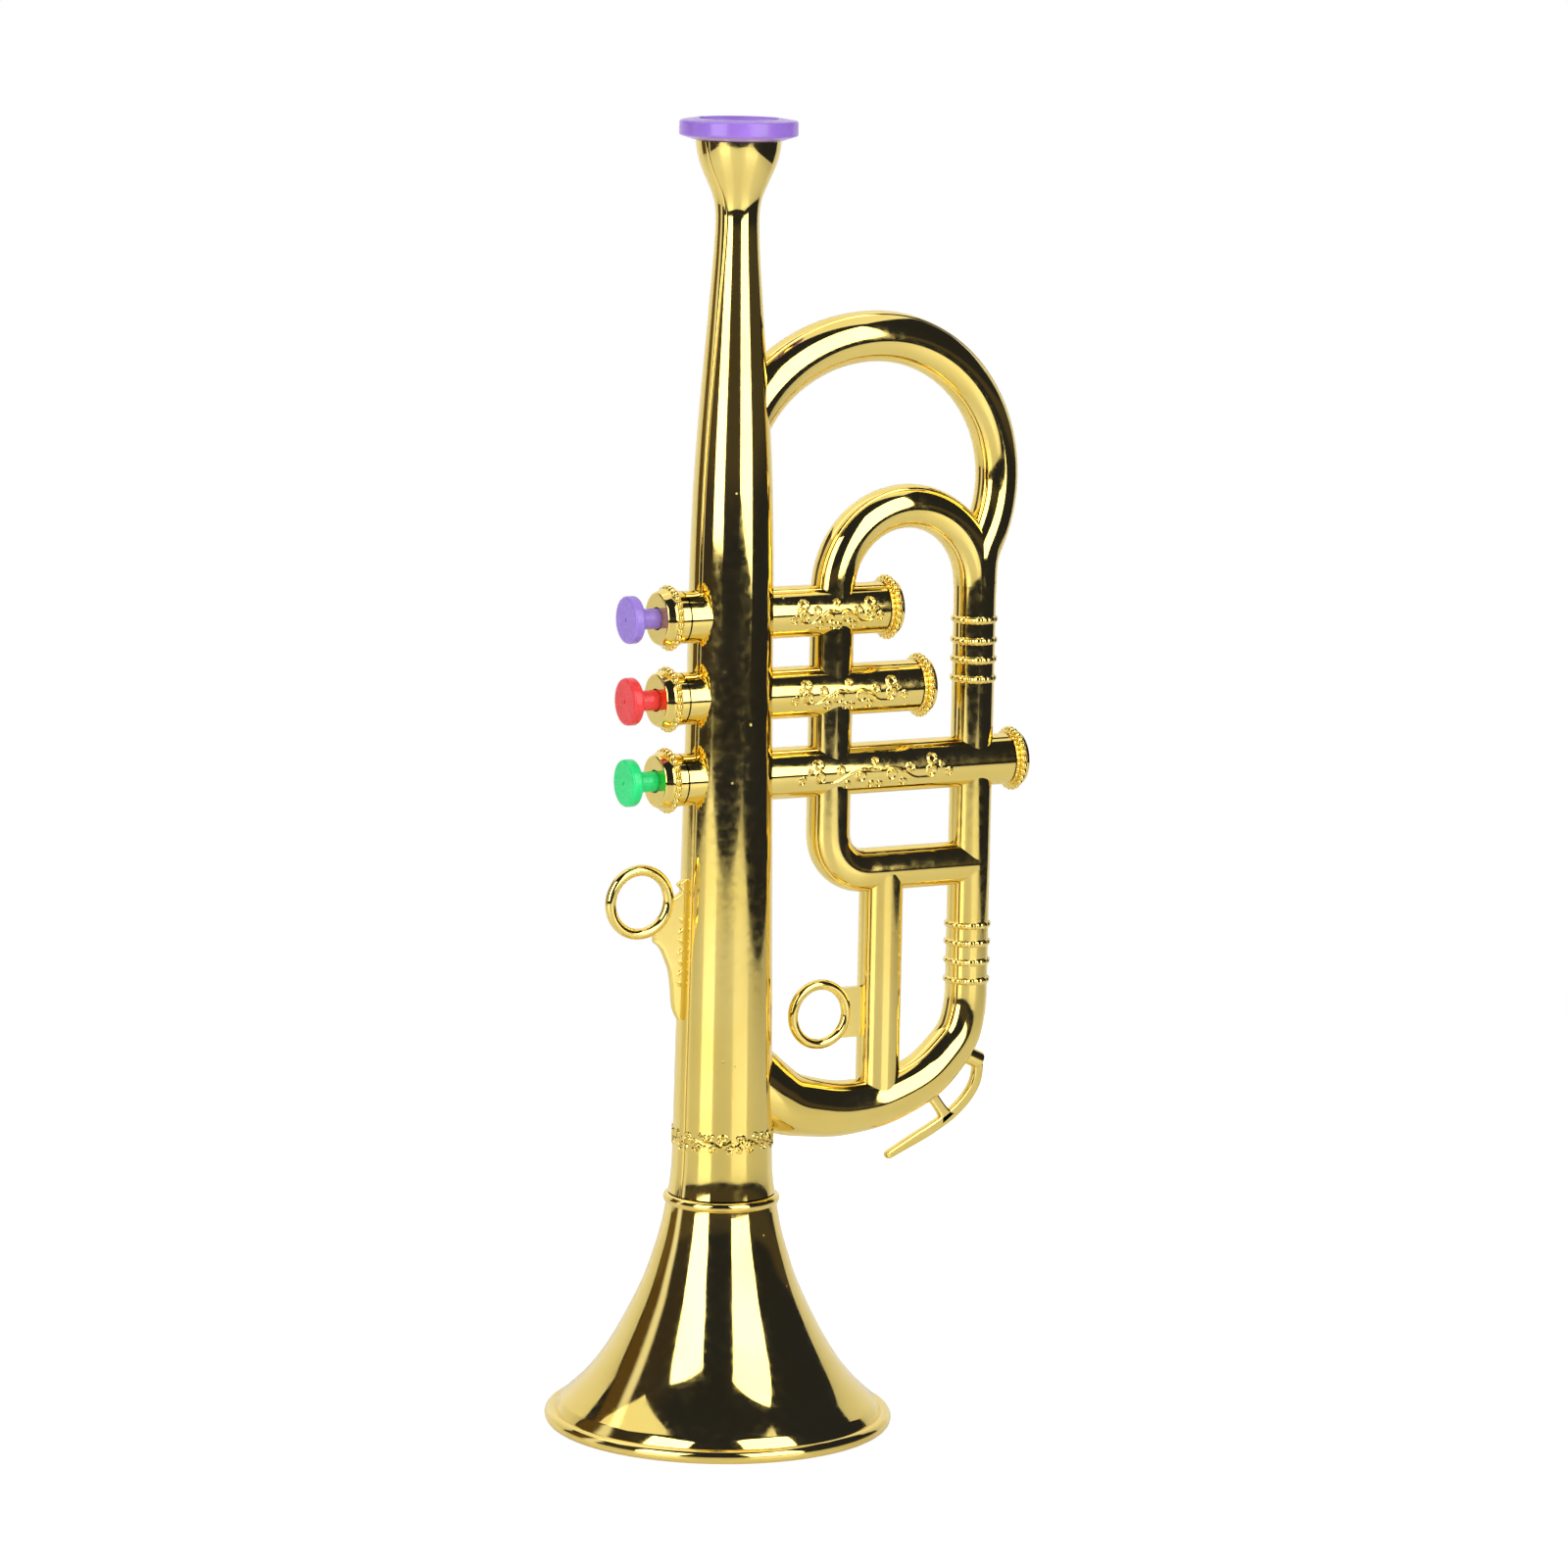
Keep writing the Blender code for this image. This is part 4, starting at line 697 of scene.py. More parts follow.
def ornament(middle_place, half):
    """Strokes of a casing's scroll, the same on both sides of its middle.

    A small ring stands over the middle. On each side follow linked and hanging curls, and a
    ring over the last curl with a rosette beside it. A stem joins them.
    """
    strokes = [curl((middle_place, 3.0 * MM), 0.8 * MM, 0, 1.0, 0.34 * MM, inward=0.0)]
    t = np.linspace(0, 0.95, 90)
    stem = through(*np.array(CASING_STEM).T, t) * MM
    for side in (-1, 1):
        def at(part, up, side=side):
            return middle_place + side * part * half, up * MM

        for part, up, radius, start, turns, width, inward in CASING_CURLS:
            strokes.append(curl(at(part, up), radius * MM, start, side * turns, width * MM, inward))
        strokes += [curl(at(1.0, 2.7), 1.3 * MM, 0, 1.0, 0.42 * MM, inward=0.0),
                    dots(at(1.16, 1.0), 0.55 * MM, 3, 0.40 * MM),
                    np.stack([middle_place + side * half * t, stem,
                              (0.44 - 0.18 * np.abs(2 * t - 1)) * MM], 1)]
    return strokes


def embossed(strokes, along, around, height):
    """Height of the strokes over a grid: h (1 - (d / w)^2)^1.5.

    Here d is the distance to a point of the nearest stroke, and w is the stroke's half width.
    """
    raised = np.zeros(around.shape)
    for stroke in strokes:
        near = (along > stroke[:, 0].min() - MM) & (along < stroke[:, 0].max() + MM)
        if near.any():
            gap = np.hypot(along[near][:, None, None] - stroke[:, 0],
                           around[near][:, :, None] - stroke[:, 1])
            shape = np.clip(1 - (gap / stroke[:, 2]) ** 2, 0, 1).max(-1) ** 1.5
            raised[near] = np.maximum(raised[near], height * shape)
    return raised


# Finishes


def fill(tree, made, inputs):
    """Set or link a node's inputs."""
    for key, value in inputs.items():
        if isinstance(value, bpy.types.NodeSocket):
            tree.links.new(value, made.inputs[key])
        else:
            made.inputs[key].default_value = value


def node(tree, kind, inputs=None, **settings):
    """Shader node with its settings, and with values or links for its inputs."""
    made = tree.nodes.new(kind)
    for key, value in settings.items():
        setattr(made, key, value)
    fill(tree, made, inputs or {})
    return made


def maths(tree, operation, *values):
    """Output of a Math node."""
    return node(tree, "ShaderNodeMath", dict(enumerate(values)), operation=operation).outputs[0]


def spread(tree, value, low, high, to_low, to_high):
    """Output of a smooth Map Range node."""
    inputs = {"Value": value, "From Min": low, "From Max": high, "To Min": to_low,
              "To Max": to_high}
    return node(tree, "ShaderNodeMapRange", inputs, interpolation_type="SMOOTHSTEP").outputs[0]


def noise(tree, place, scale, detail=2.0):
    """Factor of a Noise texture, in cycles per metre."""
    inputs = {"Vector": place, "Scale": scale, "Detail": detail}
    return node(tree, "ShaderNodeTexNoise", inputs).outputs["Fac"]


def blended(tree, factor, first, second, blend_type="MIX"):
    """Output of a Mix node between two colours, each a colour or a socket."""
    first, second = (item if isinstance(item, bpy.types.NodeSocket) else (*item, 1)
                     for item in (first, second))
    return node(tree, "ShaderNodeMix", {0: factor, 6: first, 7: second}, data_type="RGBA",
                blend_type=blend_type).outputs[2]


def shaded(colour, factor):
    """A colour times a factor."""
    return [channel * factor for channel in colour]


def new_finish(name):
    """Empty node material, its Principled shader and the piece's own coordinates."""
    made = bpy.data.materials.new(name)
    made.use_nodes = True
    tree = made.node_tree
    shader = tree.nodes["Principled BSDF"]
    return made, tree, shader, node(tree, "ShaderNodeTexCoord").outputs["Object"]


def dress(tree, shader, colour, roughness, height, depth, plain=None):
    """Colour, roughness and bump of a shader, and plain values for its other sockets.

    The bump's height counts in steps of the depth, in metres.
    """
    normal = node(tree, "ShaderNodeBump", {"Height": height, "Distance": depth, "Strength": 1.0})
    fill(tree, shader, {"Base Color": colour, "Roughness": roughness,
                        "Normal": normal.outputs[0], **(plain or {})})


def gilt_finish():
    """Vacuum-metallised plastic: slow waves from moulding, a fine grain and a few dust pits."""
    if "gilt_plastic_finish" in bpy.data.materials:
        return bpy.data.materials["gilt_plastic_finish"]
    finish = bpy.context.scene.trumpet_finish
    made, tree, shader, place = new_finish("gilt_plastic_finish")
    tone = spread(tree, noise(tree, place, 38.0), 0.35, 0.7, 0.0, 1.0)
    pits = node(tree, "ShaderNodeTexVoronoi", {"Vector": place, "Scale": 110.0})
    pit = spread(tree, pits.outputs["Distance"], 0.02, 0.05, 1.0, 0.0)
    grain = spread(tree, noise(tree, place, 420.0, 4.0), 0.3, 0.75, finish.gilt_gloss * 0.6,
                   finish.gilt_gloss * 1.5)
    waves = maths(tree, "MULTIPLY", noise(tree, place, 70.0, 1.0), 0.5)
    fine = maths(tree, "MULTIPLY", noise(tree, place, 900.0, 3.0), 0.03)
    height = maths(tree, "SUBTRACT", maths(tree, "ADD", waves, fine),
                   maths(tree, "MULTIPLY", pit, 1.5))
    dress(tree, shader, blended(tree, tone, finish.gilt, finish.gilt_deep),
          maths(tree, "MULTIPLY_ADD", pit, 0.5, grain), height, 0.02 * MM, {"Metallic": 1.0})
    return made


def plastic_finish(name, colour, roughness=0.22, depth=0.88):
    """Glossy moulded plastic: cloudy pigment, uneven gloss and a faint orange peel."""
    made, tree, shader, place = new_finish(name)
    tone = spread(tree, noise(tree, place, 120.0, 3.0), 0.3, 0.7, 0.0, 1.0)
    gloss = spread(tree, noise(tree, place, 600.0, 4.0), 0.3, 0.7, roughness * 0.8,
                   roughness * 1.35)
    dress(tree, shader, blended(tree, tone, colour, shaded(colour, depth)), gloss,
          noise(tree, place, 500.0, 3.0), 0.015 * MM,
          {"Subsurface Weight": 0.12, "Subsurface Radius": (1.0, 0.8, 1.0),
           "Subsurface Scale": 1.5 * MM})
    return made


def metal_finish(name, colour, roughness, lines):
    """Drawn or rolled metal: fine lines, drawn out along the axis whose share is small."""
    made, tree, shader, place = new_finish(name)
    drawn = node(tree, "ShaderNodeMapping", {"Vector": place, "Scale": lines}).outputs[0]
    streaks = noise(tree, drawn, 900.0, 4.0)
    dress(tree, shader, blended(tree, streaks, colour, shaded(colour, 0.8)),
          spread(tree, streaks, 0.2, 0.8, roughness * 0.7, roughness * 1.4), streaks, 0.01 * MM,
          {"Metallic": 1.0})
    return made


def rubber_finish(name, colour):
    """Matt rubber with a pebbled skin."""
    made, tree, shader, place = new_finish(name)
    grains = noise(tree, place, 1500.0, 4.0)
    dress(tree, shader, blended(tree, grains, colour, shaded(colour, 1.8)),
          spread(tree, grains, 0.3, 0.7, 0.6, 0.85), grains, 0.05 * MM)
    return made


# The body


def tube_profile():
    """Heights and outer radii of the main tube from its foot to the cup's lip."""
    s, bell = tubes(), bpy.context.scene.trumpet_bell
    lip = TOP_HEIGHT - bell.rim_height - s.seam
    foot = bell.collar_height + bell.collar_bead + s.seam
    neck = lip - s.cup_depth
    valve_top = neck - s.leadpipe
    knots = np.vstack([
        stretch(CUP, neck, s.cup_depth, s.neck, s.cup)[::-1],
        stretch(LEADPIPE, neck, -s.leadpipe, s.neck, s.valve_tube),
        stretch(VALVE_TUBE, valve_top, s.tail_height - valve_top, s.valve_tube, s.tail),
        stretch(FOOT, s.tail_height, foot - s.tail_height, s.tail, s.foot)])[::-1]
    height = np.linspace(foot, lip, int((lip - foot) / (0.25 * MM)) + 1)
    return height, blurred(through(*knots.T, height), height[1] - height[0], 2.0 * MM)


class TRUMPET_OT_main_tube(bpy.types.Operator):
    """Main tube in two half shells, with the scroll band over its foot"""

    bl_idname = "trumpet.main_tube"
    bl_label = "Main tube"

    def execute(self, context):
        height, radius = tube_profile()
        places = stations(height[0], height[-1], 1.0 * MM,
                          [(*SCROLL_BAND, 0.22 * MM), (*CUP_FOOT, 0.5 * MM)])
        radii = np.interp(places, height, radius)
        band_middle = sum(SCROLL_BAND) / 2
        band_radius = np.interp(band_middle, height, radius)
        girth = TURN * band_radius
        strokes = [stroke[:, [1, 0, 2]]
                   for stroke in scroll(girth, SCROLL_PITCH, SCROLL_REACH)]
        for stroke in strokes:
            stroke[:, 0] += band_middle

        def tube(side):
            centre, steps = (0.0, 120) if side == FRONT else (girth / 2, 150)

            def relief(angles):
                around = (angles * band_radius + centre + girth / 2) % girth - girth / 2
                return embossed(strokes, places, around, tubes().relief)

            return half_tube(0.0, places, radii, side, steps, relief, 24)

        add_halves({"main_tube": tube})
        return {"FINISHED"}


def bow_line():
    """Axis and radii round the big bow, down the right leg and back, softened."""
    s = tubes()
    end = -math.acos((s.leg_reach - s.bow_reach) / s.bow_bend)
    angles = np.linspace(math.radians(157), end, 200)
    root = np.cos(angles) < 0
    reach = s.bow_reach + np.where(root, s.bow_span, s.bow_bend) * np.cos(angles)
    height = s.bow_height + s.bow_bend * np.sin(angles)
    radii = s.bow_top + (np.where(root, s.bow_root, s.leg) - s.bow_top) * np.cos(angles) ** 2
    shares = np.array(LOWER_BOW)
    low = np.stack([s.leg_reach * shares[:, 0],
                    s.lower_height + (s.leg_end - s.lower_height) * shares[:, 1],
                    s.leg + (s.lower_bow - s.leg) * shares[:, 2]], 1)
    leg_top = s.bow_height + s.bow_bend * math.sin(end)
    leg = [[s.leg_reach, s.leg_end + (leg_top - s.leg_end) * part, s.leg]
           for part in (0.9, 0.5, 0.15)]
    knots = np.vstack([leg, low])
    length = np.concatenate([[0], np.cumsum(np.hypot(*np.diff(knots[:, :2], axis=0).T))])
    even = np.linspace(0, length[-1], 500)
    tail = np.stack([through(length, column, even) for column in knots.T], 1)
    points = np.vstack([np.stack([reach, height], 1), tail[:, :2]])
    return softened(points, np.concatenate([radii, tail[:, 2]]), 2.5 * MM)


def small_bow_line():
    """Axis and radii of the small bow: over the top, down the left leg, round and across."""
    s = tubes()
    centre = s.leg_reach - s.small_bend
    left, turn_height = centre - s.small_bend, s.cross_height + s.cross_bend
    over = arc((centre, s.small_height), s.small_bend, 0, np.pi)
    bend = arc((left + s.cross_bend, turn_height), s.cross_bend, np.pi, 1.5 * np.pi)
    points = np.vstack([over, bend, [[s.leg_reach, s.cross_height]]])
    return softened(points, np.full(len(points), s.small), 1.5 * MM)


def taper(length, total, reach, least=0.35):
    """Rounding of a bar's two ends: its size follows a quarter ellipse over the reach."""
    inside = np.clip(np.minimum(length, total - length) / reach, 0, 1)
    return least + (1 - least) * np.sqrt(1 - (1 - inside) ** 2)


class TRUMPET_OT_bows(bpy.types.Operator):
    """Big bow with the right leg and lower bow, small bow with the cross tube, and strut"""

    bl_idname = "trumpet.bows"
    bl_label = "Bows and strut"

    def execute(self, context):
        s = tubes()
        length, reach, height, radii = bow_line()
        on_leg = np.abs(reach - s.leg_reach) < 0.6 * MM
        bands = [np.interp(-band * MM, -height[on_leg], length[on_leg]) for band in LEG_BANDS]
        fine = [(place - 1.1 * MM, place + 1.1 * MM, 0.1 * MM) for place in bands]
        places = stations(0, length[-1], 0.9 * MM, fine)
        big = at_places(places, length, (reach, height, radii))
        gap = np.abs(places[:, None] - np.array(bands)).min(1)
        ridge = s.band_height * np.sqrt(np.clip(1 - (gap / BAND_HALF) ** 2, 0, 1))

        def beaded_bands(angles):
            return ridge[:, None] * (0.86 + 0.14 * np.cos(26 * angles))

        length, *small = small_bow_line()
        small = at_places(stations(0, length[-1], 0.8 * MM), length, small)
        foot = s.lower_height + 1.5 * MM
        heights = stations(foot, s.cross_height - 0.9 * MM, 1.0 * MM,
                           [(foot, s.lower_height + 5 * MM, 0.2 * MM)])
        run = heights - heights[0]
        strut_radii = s.strut * np.where(run < 3 * MM, taper(run, run[-1], 3 * MM, 0.85), 1.0)
        add_halves({
            "big_bow": lambda side: half_tube(*big, side, 72, beaded_bands),
            "small_bow": lambda side: half_tube(*small, side, 60),
            "strut": lambda side: half_tube(s.strut_reach, heights, strut_radii, side, 60)})
        return {"FINISHED"}


class TRUMPET_OT_casings(bpy.types.Operator):
    """Valve casings on both sides of the main tube, with saddles and raised scrollwork"""

    bl_idname = "trumpet.casings"
    bl_label = "Valve casings"

    def execute(self, context):
        s, v = tubes(), valves()
        saddle_places, rises = np.array(SADDLES).T * MM
        key_places = stations(-v.casing_reach, saddle_places[-1], 0.25 * MM)
        rise = through(saddle_places, rises, key_places)

        def saddles(angles):
            return rise[:, None] * np.sin(angles) ** 6

        for number, height, face, (scroll_middle, half) in zip(KEY_NUMBERS, KEY_HEIGHTS,
                                                               CAP_FACES, CASING_SCROLLS):
            end = face - v.disc_height - CAP_STEP - v.clearance
            reach = (1.3 * half + 2) * MM
            scroll_middle = scroll_middle * MM
            places = stations(9.6 * MM, end, 0.8 * MM,
                              [(scroll_middle - reach, scroll_middle + reach, 0.2 * MM)])
            strokes = ornament(scroll_middle, half * MM)

            def scrollwork(angles):
                return embossed(strokes, places, angles * v.casing, s.relief)

            add_halves({
                f"casing_{number}": lambda side: half_tube(
                    places, height, v.casing, side, 90, scrollwork if side == FRONT else None),
                f"key_casing_{number}": lambda side: half_tube(
                    key_places, height, v.casing, side, 60, saddles)})
        return {"FINISHED"}


# Caps, keys, bell and mouthpiece, turned about their axes


def beads(rings, count):
    """Swell that cuts rings into round beads.

    Between two beads the radius falls by the depth, as 1 - sqrt(1 - u^2) with u from -1 to 1 over
    one bead. Each ring is (middle, half width, depth) along the axis.
    """
    def swell(profile, angles):
        u = (angles * count / TURN) % 1 * 2 - 1
        fall = 1 - np.sqrt(np.clip(1 - 0.98 * u * u, 0, 1))
        deep = np.zeros(len(profile))
        for centre, half, depth in rings:
            deep += depth * np.sqrt(np.clip(1 - ((profile[:, 1] - centre) / half) ** 2, 0, 1))
        return -deep[:, None] * fall
    return swell


def ridge_profile(centre, half, outer, inner, count=11):
    """Half-round ring on a turned piece, from its far edge to its near one."""
    angles = np.linspace(0, np.pi, count)
    return [(inner + (outer - inner) * math.sin(a), centre + half * math.cos(a)) for a in angles]


class TRUMPET_OT_caps(bpy.types.Operator):
    """Beaded caps at both ends of each valve casing"""

    bl_idname = "trumpet.caps"
    bl_label = "Caps"

    def execute(self, context):
        v = valves()
        spigot, hole = v.bore - v.clearance, v.stem + v.clearance
        # Radii of the edges, the neck, the bead ring's foot and the lip
        edge, neck, root, lip = 7.2 * MM, 7.5 * MM, 8.0 * MM, 8.2 * MM
        seat = v.casing_reach + v.clearance
        face = seat + v.face
        ring, ring_half = face - 3.6 * MM, 0.95 * MM
        outline = [(edge, face), (lip, face - 2.2 * MM), (lip, ring + 0.98 * MM),
                   *ridge_profile(ring, ring_half, v.bead, root),
                   (neck, ring - 1.15 * MM), (neck, seat + 0.25 * MM), (edge, seat),
                   (spigot, seat), (spigot, seat - v.spigot), (hole, seat - v.spigot),
                   (hole, face)]
        valve_cap = filleted(outline, {0: 0.5, 1: 0.35, -1: 0.25}, 5)
        valve_beads = beads([(ring, ring_half, v.bead_depth)], v.bead_count)
        end_half, small_half, recess = 0.9 * MM, 0.45 * MM, 0.25 * MM
        around = 12 * v.bead_count
        for number, height, face in zip(KEY_NUMBERS, KEY_HEIGHTS, CAP_FACES):
            origin = (AXIS_X, 0, height)
            solid = turned(valve_cap, origin, (-1, 0, 0), around, valve_beads)
            add_piece(f"valve_cap_{number}_beaded", f"valve_cap_{number}", [solid])
            ring = face - v.disc_height
            seat, small = ring - CAP_STEP, ring - 1.45 * MM
            outline = [(0, face - recess), (5.6 * MM, face - recess), (6.0 * MM, face),
                       (v.disc, face), (v.disc, ring + 1.1 * MM), (8.25 * MM, ring + 0.98 * MM),
                       *ridge_profile(ring, end_half, v.bead, root),
                       (7.6 * MM, ring - 0.95 * MM),
                       *ridge_profile(small, small_half, 8.1 * MM, neck, 7),
                       (7.4 * MM, seat), (spigot, seat), (spigot, seat - v.spigot),
                       (0, seat - v.spigot)]
            profile = filleted(outline, {1: 0.15, 2: 0.12, 3: 0.55}, 5)
            end_beads = beads([(ring, end_half, v.bead_depth), (small, small_half, 0.5 * MM)],
                              v.bead_count)
            solid = turned(profile, origin, (1, 0, 0), around, end_beads, closed=False)
            add_piece(f"end_cap_{number}_beaded", f"end_cap_{number}", [solid])
        return {"FINISHED"}


class TRUMPET_OT_keys(bpy.types.Operator):
    """Coloured keys with their stems, push rods and return springs"""

    bl_idname = "trumpet.keys"
    bl_label = "Keys and springs"

    def execute(self, context):
        v, finish = valves(), context.scene.trumpet_finish
        face = v.casing_reach + v.clearance + v.face
        under = face + v.key_clear
        top = under + v.key_height
        shoulder, head = face - 6.3 * MM, -3.1 * MM
        dent, plate = top - 0.3 * MM, head - 0.8 * MM
        outline = [(0, dent), (v.dimple, dent), (v.dimple, top), (v.key, top), (v.key, under),
                   (v.stem, under), (v.stem, shoulder), (v.rod, shoulder), (v.rod, head),
                   (v.rod_head, head), (v.rod_head, plate), (0, plate)]
        profile = filleted(outline, {2: 0.12, 3: 0.9, 4: 0.9, 5: 0.35, 6: 0.25, 8: 0.2, 9: 0.15,
                                     10: 0.15}, 8)
        colours = {"purple": finish.lilac, "red": finish.red, "green": finish.green}
        coils, near, far = 5, -1.6 * MM, -shoulder + 0.6 * MM
        t = np.linspace(0, 1, coils * 32 + 1)
        angles = TURN * coils * t
        out = np.stack([np.zeros(len(t)), np.cos(angles), np.sin(angles)], 1)
        for number, height, (word, colour) in zip(KEY_NUMBERS, KEY_HEIGHTS, colours.items()):
            origin = (AXIS_X, 0, height)
            key = f"key_{number}"
            solid = turned(profile, origin, (-1, 0, 0), 96, closed=False)
            add_piece(f"{key}_moulded", key, [solid], plastic_finish(f"{key}_finish", colour),
                      key)
            path = np.array(origin) + v.coil * out
            path[:, 0] += near + (far - near) * t
            solid = swept(path, out, v.wire, v.wire, v.wire, 3, side=np.cross(tangent(path), out))
            steel = metal_finish(f"spring_{number}_finish", finish.steel, 0.25, (1.0, 1.0, 1.0))
            spring = add_piece(f"key_spring_{number}_wire", f"key_spring_{number}", [solid], steel)
            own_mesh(spring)
        return {"FINISHED"}


class TRUMPET_OT_bell(bpy.types.Operator):
    """Bell with its collar bead, rolled rim and inner wall"""

    bl_idname = "trumpet.bell"
    bl_label = "Bell"

    def execute(self, context):
        bell = context.scene.trumpet_bell
        heights, radii = stretch(BELL_FLARE, 0, bell.collar_height, bell.throat, bell.radius).T
        even = np.linspace(heights[0], heights[-1], 140)
        radius = blurred(through(heights, radii, even), even[1] - even[0], 1.6 * MM)
        slope = np.gradient(radius, even)
        size_of_slope = np.hypot(slope, 1)
        inner_radius = radius - bell.wall / size_of_slope
        inner_height = even + bell.wall * slope / size_of_slope
        rises = np.diff(np.maximum.accumulate(inner_height)) > 0
        keep = np.concatenate([[True], rises]) & (inner_height > MM)
        collar_top = bell.collar_height + bell.collar_bead
        top = collar_top + bell.spigot_length
        centre = (bell.collar - bell.collar_bead, bell.collar_height)
        bead = arc(centre, bell.collar_bead, np.pi / 2, math.radians(-62), 22)
        rim_centre = (bell.radius - bell.rim_bead, bell.rim_bead)
        rim = arc(rim_centre, bell.rim_bead, math.radians(128), math.radians(-90), 34)
        lip = rim_centre[0] - bell.flat
        inner_spigot = bell.spigot - bell.spigot_wall
        chamfer, hair = 0.4 * MM, 0.02 * MM
        outline = np.vstack([
            [(bell.spigot, top - chamfer), (bell.spigot, collar_top + hair),
             (bell.spigot + hair, collar_top)],
            bead, np.stack([radius, even], 1)[::-1], rim, [(lip + hair, 0), (lip, 0)],
            np.stack([inner_radius, inner_height], 1)[keep],
            [(inner_spigot, collar_top), (inner_spigot, top - chamfer),
             (inner_spigot + chamfer, top), (bell.spigot - chamfer, top)]])
        solid = turned(outline, (AXIS_X, 0, 0), (0, 0, 1), 200)
        add_piece("bell_flare", "bell", [solid])
        return {"FINISHED"}


class TRUMPET_OT_mouthpiece(bpy.types.Operator):
    """Coloured mouthpiece rim with its spigot in the cup"""

    bl_idname = "trumpet.mouthpiece"
    bl_label = "Mouthpiece rim"

    def execute(self, context):
        bell, s = context.scene.trumpet_bell, tubes()
        height, radius = tube_profile()
        seat = TOP_HEIGHT - bell.rim_height
        levels = np.array([height[-1] - 0.1 * MM, height[-1] - 3 * MM, height[-1] - 6 * MM])
        spigot = np.interp(levels, height, radius) - s.wall - s.seam
        wall = 1.3 * MM
        outline = [(bell.rim_bore + 0.7 * MM, TOP_HEIGHT), (bell.rim, TOP_HEIGHT - 0.75 * MM),
                   (bell.rim, seat + 1.2 * MM), (s.cup + 0.8 * MM, seat), (spigot[0], seat),
                   *zip(spigot, levels), *zip(spigot[::-1] - wall, levels[::-1]),
                   (bell.rim_bore - 1.2 * MM, TOP_HEIGHT - 3.2 * MM),
                   (bell.rim_bore - 0.15 * MM, TOP_HEIGHT - 0.8 * MM)]
        profile = filleted(outline, {0: 0.6, 1: 0.7, 2: 0.5, -2: 0.8, -1: 0.5}, 7)
        solid = turned(profile, (AXIS_X, 0, 0), (0, 0, 1), 160)
        purple = plastic_finish("mouthpiece_finish", context.scene.trumpet_finish.purple, 0.2)
        add_piece("mouthpiece_rim_ring", "mouthpiece_rim", [solid], purple)
        return {"FINISHED"}


# Rings and water key


def leaf(centre, long, wide, tall, lean):
    """Raised leaf or bead: a half-sunk ellipsoid, turned by lean in the plane of its plate."""
    angles = np.arange(12) * TURN / 12
    rows = np.linspace(0, np.pi, 9)[1:-1, None]
    ring = np.sin(rows)
    local = np.stack([long * np.cos(rows) * np.ones(12), tall * ring * np.sin(angles),
                      wide * ring * np.cos(angles)], -1).reshape(-1, 3)
    faces = [grid_faces(7, 12), *pole_faces(12, len(local))]
    local = np.vstack([local, [[long, 0, 0], [-long, 0, 0]]])
    cosine, sine = math.cos(lean), math.sin(lean)
    leaned = local @ np.array([[cosine, 0, sine], [0, 1, 0], [-sine, 0, cosine]])
    return facing_out(leaned + np.asarray(centre), faces)


def plate_between(rows, left, right, thickness):
    """Flat plate in the middle plane: at each height it runs from one reach to another."""
    half = np.maximum((right - left) / 2, 0.25 * MM)
    path = np.stack([AXIS_X + (left + right) / 2, np.zeros(len(rows)), rows], 1)
    across = np.broadcast_to(np.array([-1.0, 0, 0]), path.shape)
    return swept(path, across, half, thickness / 2, PLATE_EDGE, flats=True)


class TRUMPET_OT_rings(bpy.types.Operator):
    """Finger ring with its leaf web, and thumb ring with its tab"""

    bl_idname = "trumpet.rings"
    bl_label = "Finger and thumb rings"

    def execute(self, context):
        r, s = context.scene.trumpet_rings, tubes()
        centre = (-r.finger_reach, r.finger_height)
        heights, tube_radii = tube_profile()

        def web_knots(shares):
            return [(r.finger_height - r.web_length * down, -r.finger_reach * across)
                    for across, down in shares]

        on_ring = [(centre[1] + r.finger * math.sin(a), centre[0] + r.finger * math.cos(a))
                   for a in map(math.radians, (-55, -45, -30, -15, 0))]
        knots = np.array(web_knots(WEB_EDGE) + on_ring + web_knots(WEB_BARB))
        rows = stations(knots[0, 0], knots[-1, 0], 0.4 * MM)
        right = -(np.interp(rows, heights, tube_radii) - 1.0 * MM)
        web = plate_between(rows, through(*knots.T, rows), right, r.web)
        leaves = []
        for index in range(7):
            up = (146.0 - 3.0 * index) * MM
            reach = np.interp(up, heights, tube_radii) * -1 - 1.55 * MM
            lean = math.radians(50 if index % 2 else 118)
            leaves.append(leaf((AXIS_X + reach, -r.web / 2, up), *LEAF, lean))
        ring = loop(centre, r.finger, r.finger_wire)
        add_piece("finger_ring_web", "finger_ring", [ring, web, *leaves])
        centre = (r.thumb_reach, r.thumb_height)
        rows = r.thumb_height + np.linspace(-r.tab, r.tab, 60)
        left = centre[0] + np.sqrt(r.thumb ** 2 - (rows - centre[1]) ** 2)
        tab = plate_between(rows, left, s.strut_reach - 5.2 * MM, r.web)
        ring = loop(centre, r.thumb, r.thumb_wire)
        add_piece("thumb_ring_tab", "thumb_ring", [ring, tab])
        return {"FINISHED"}


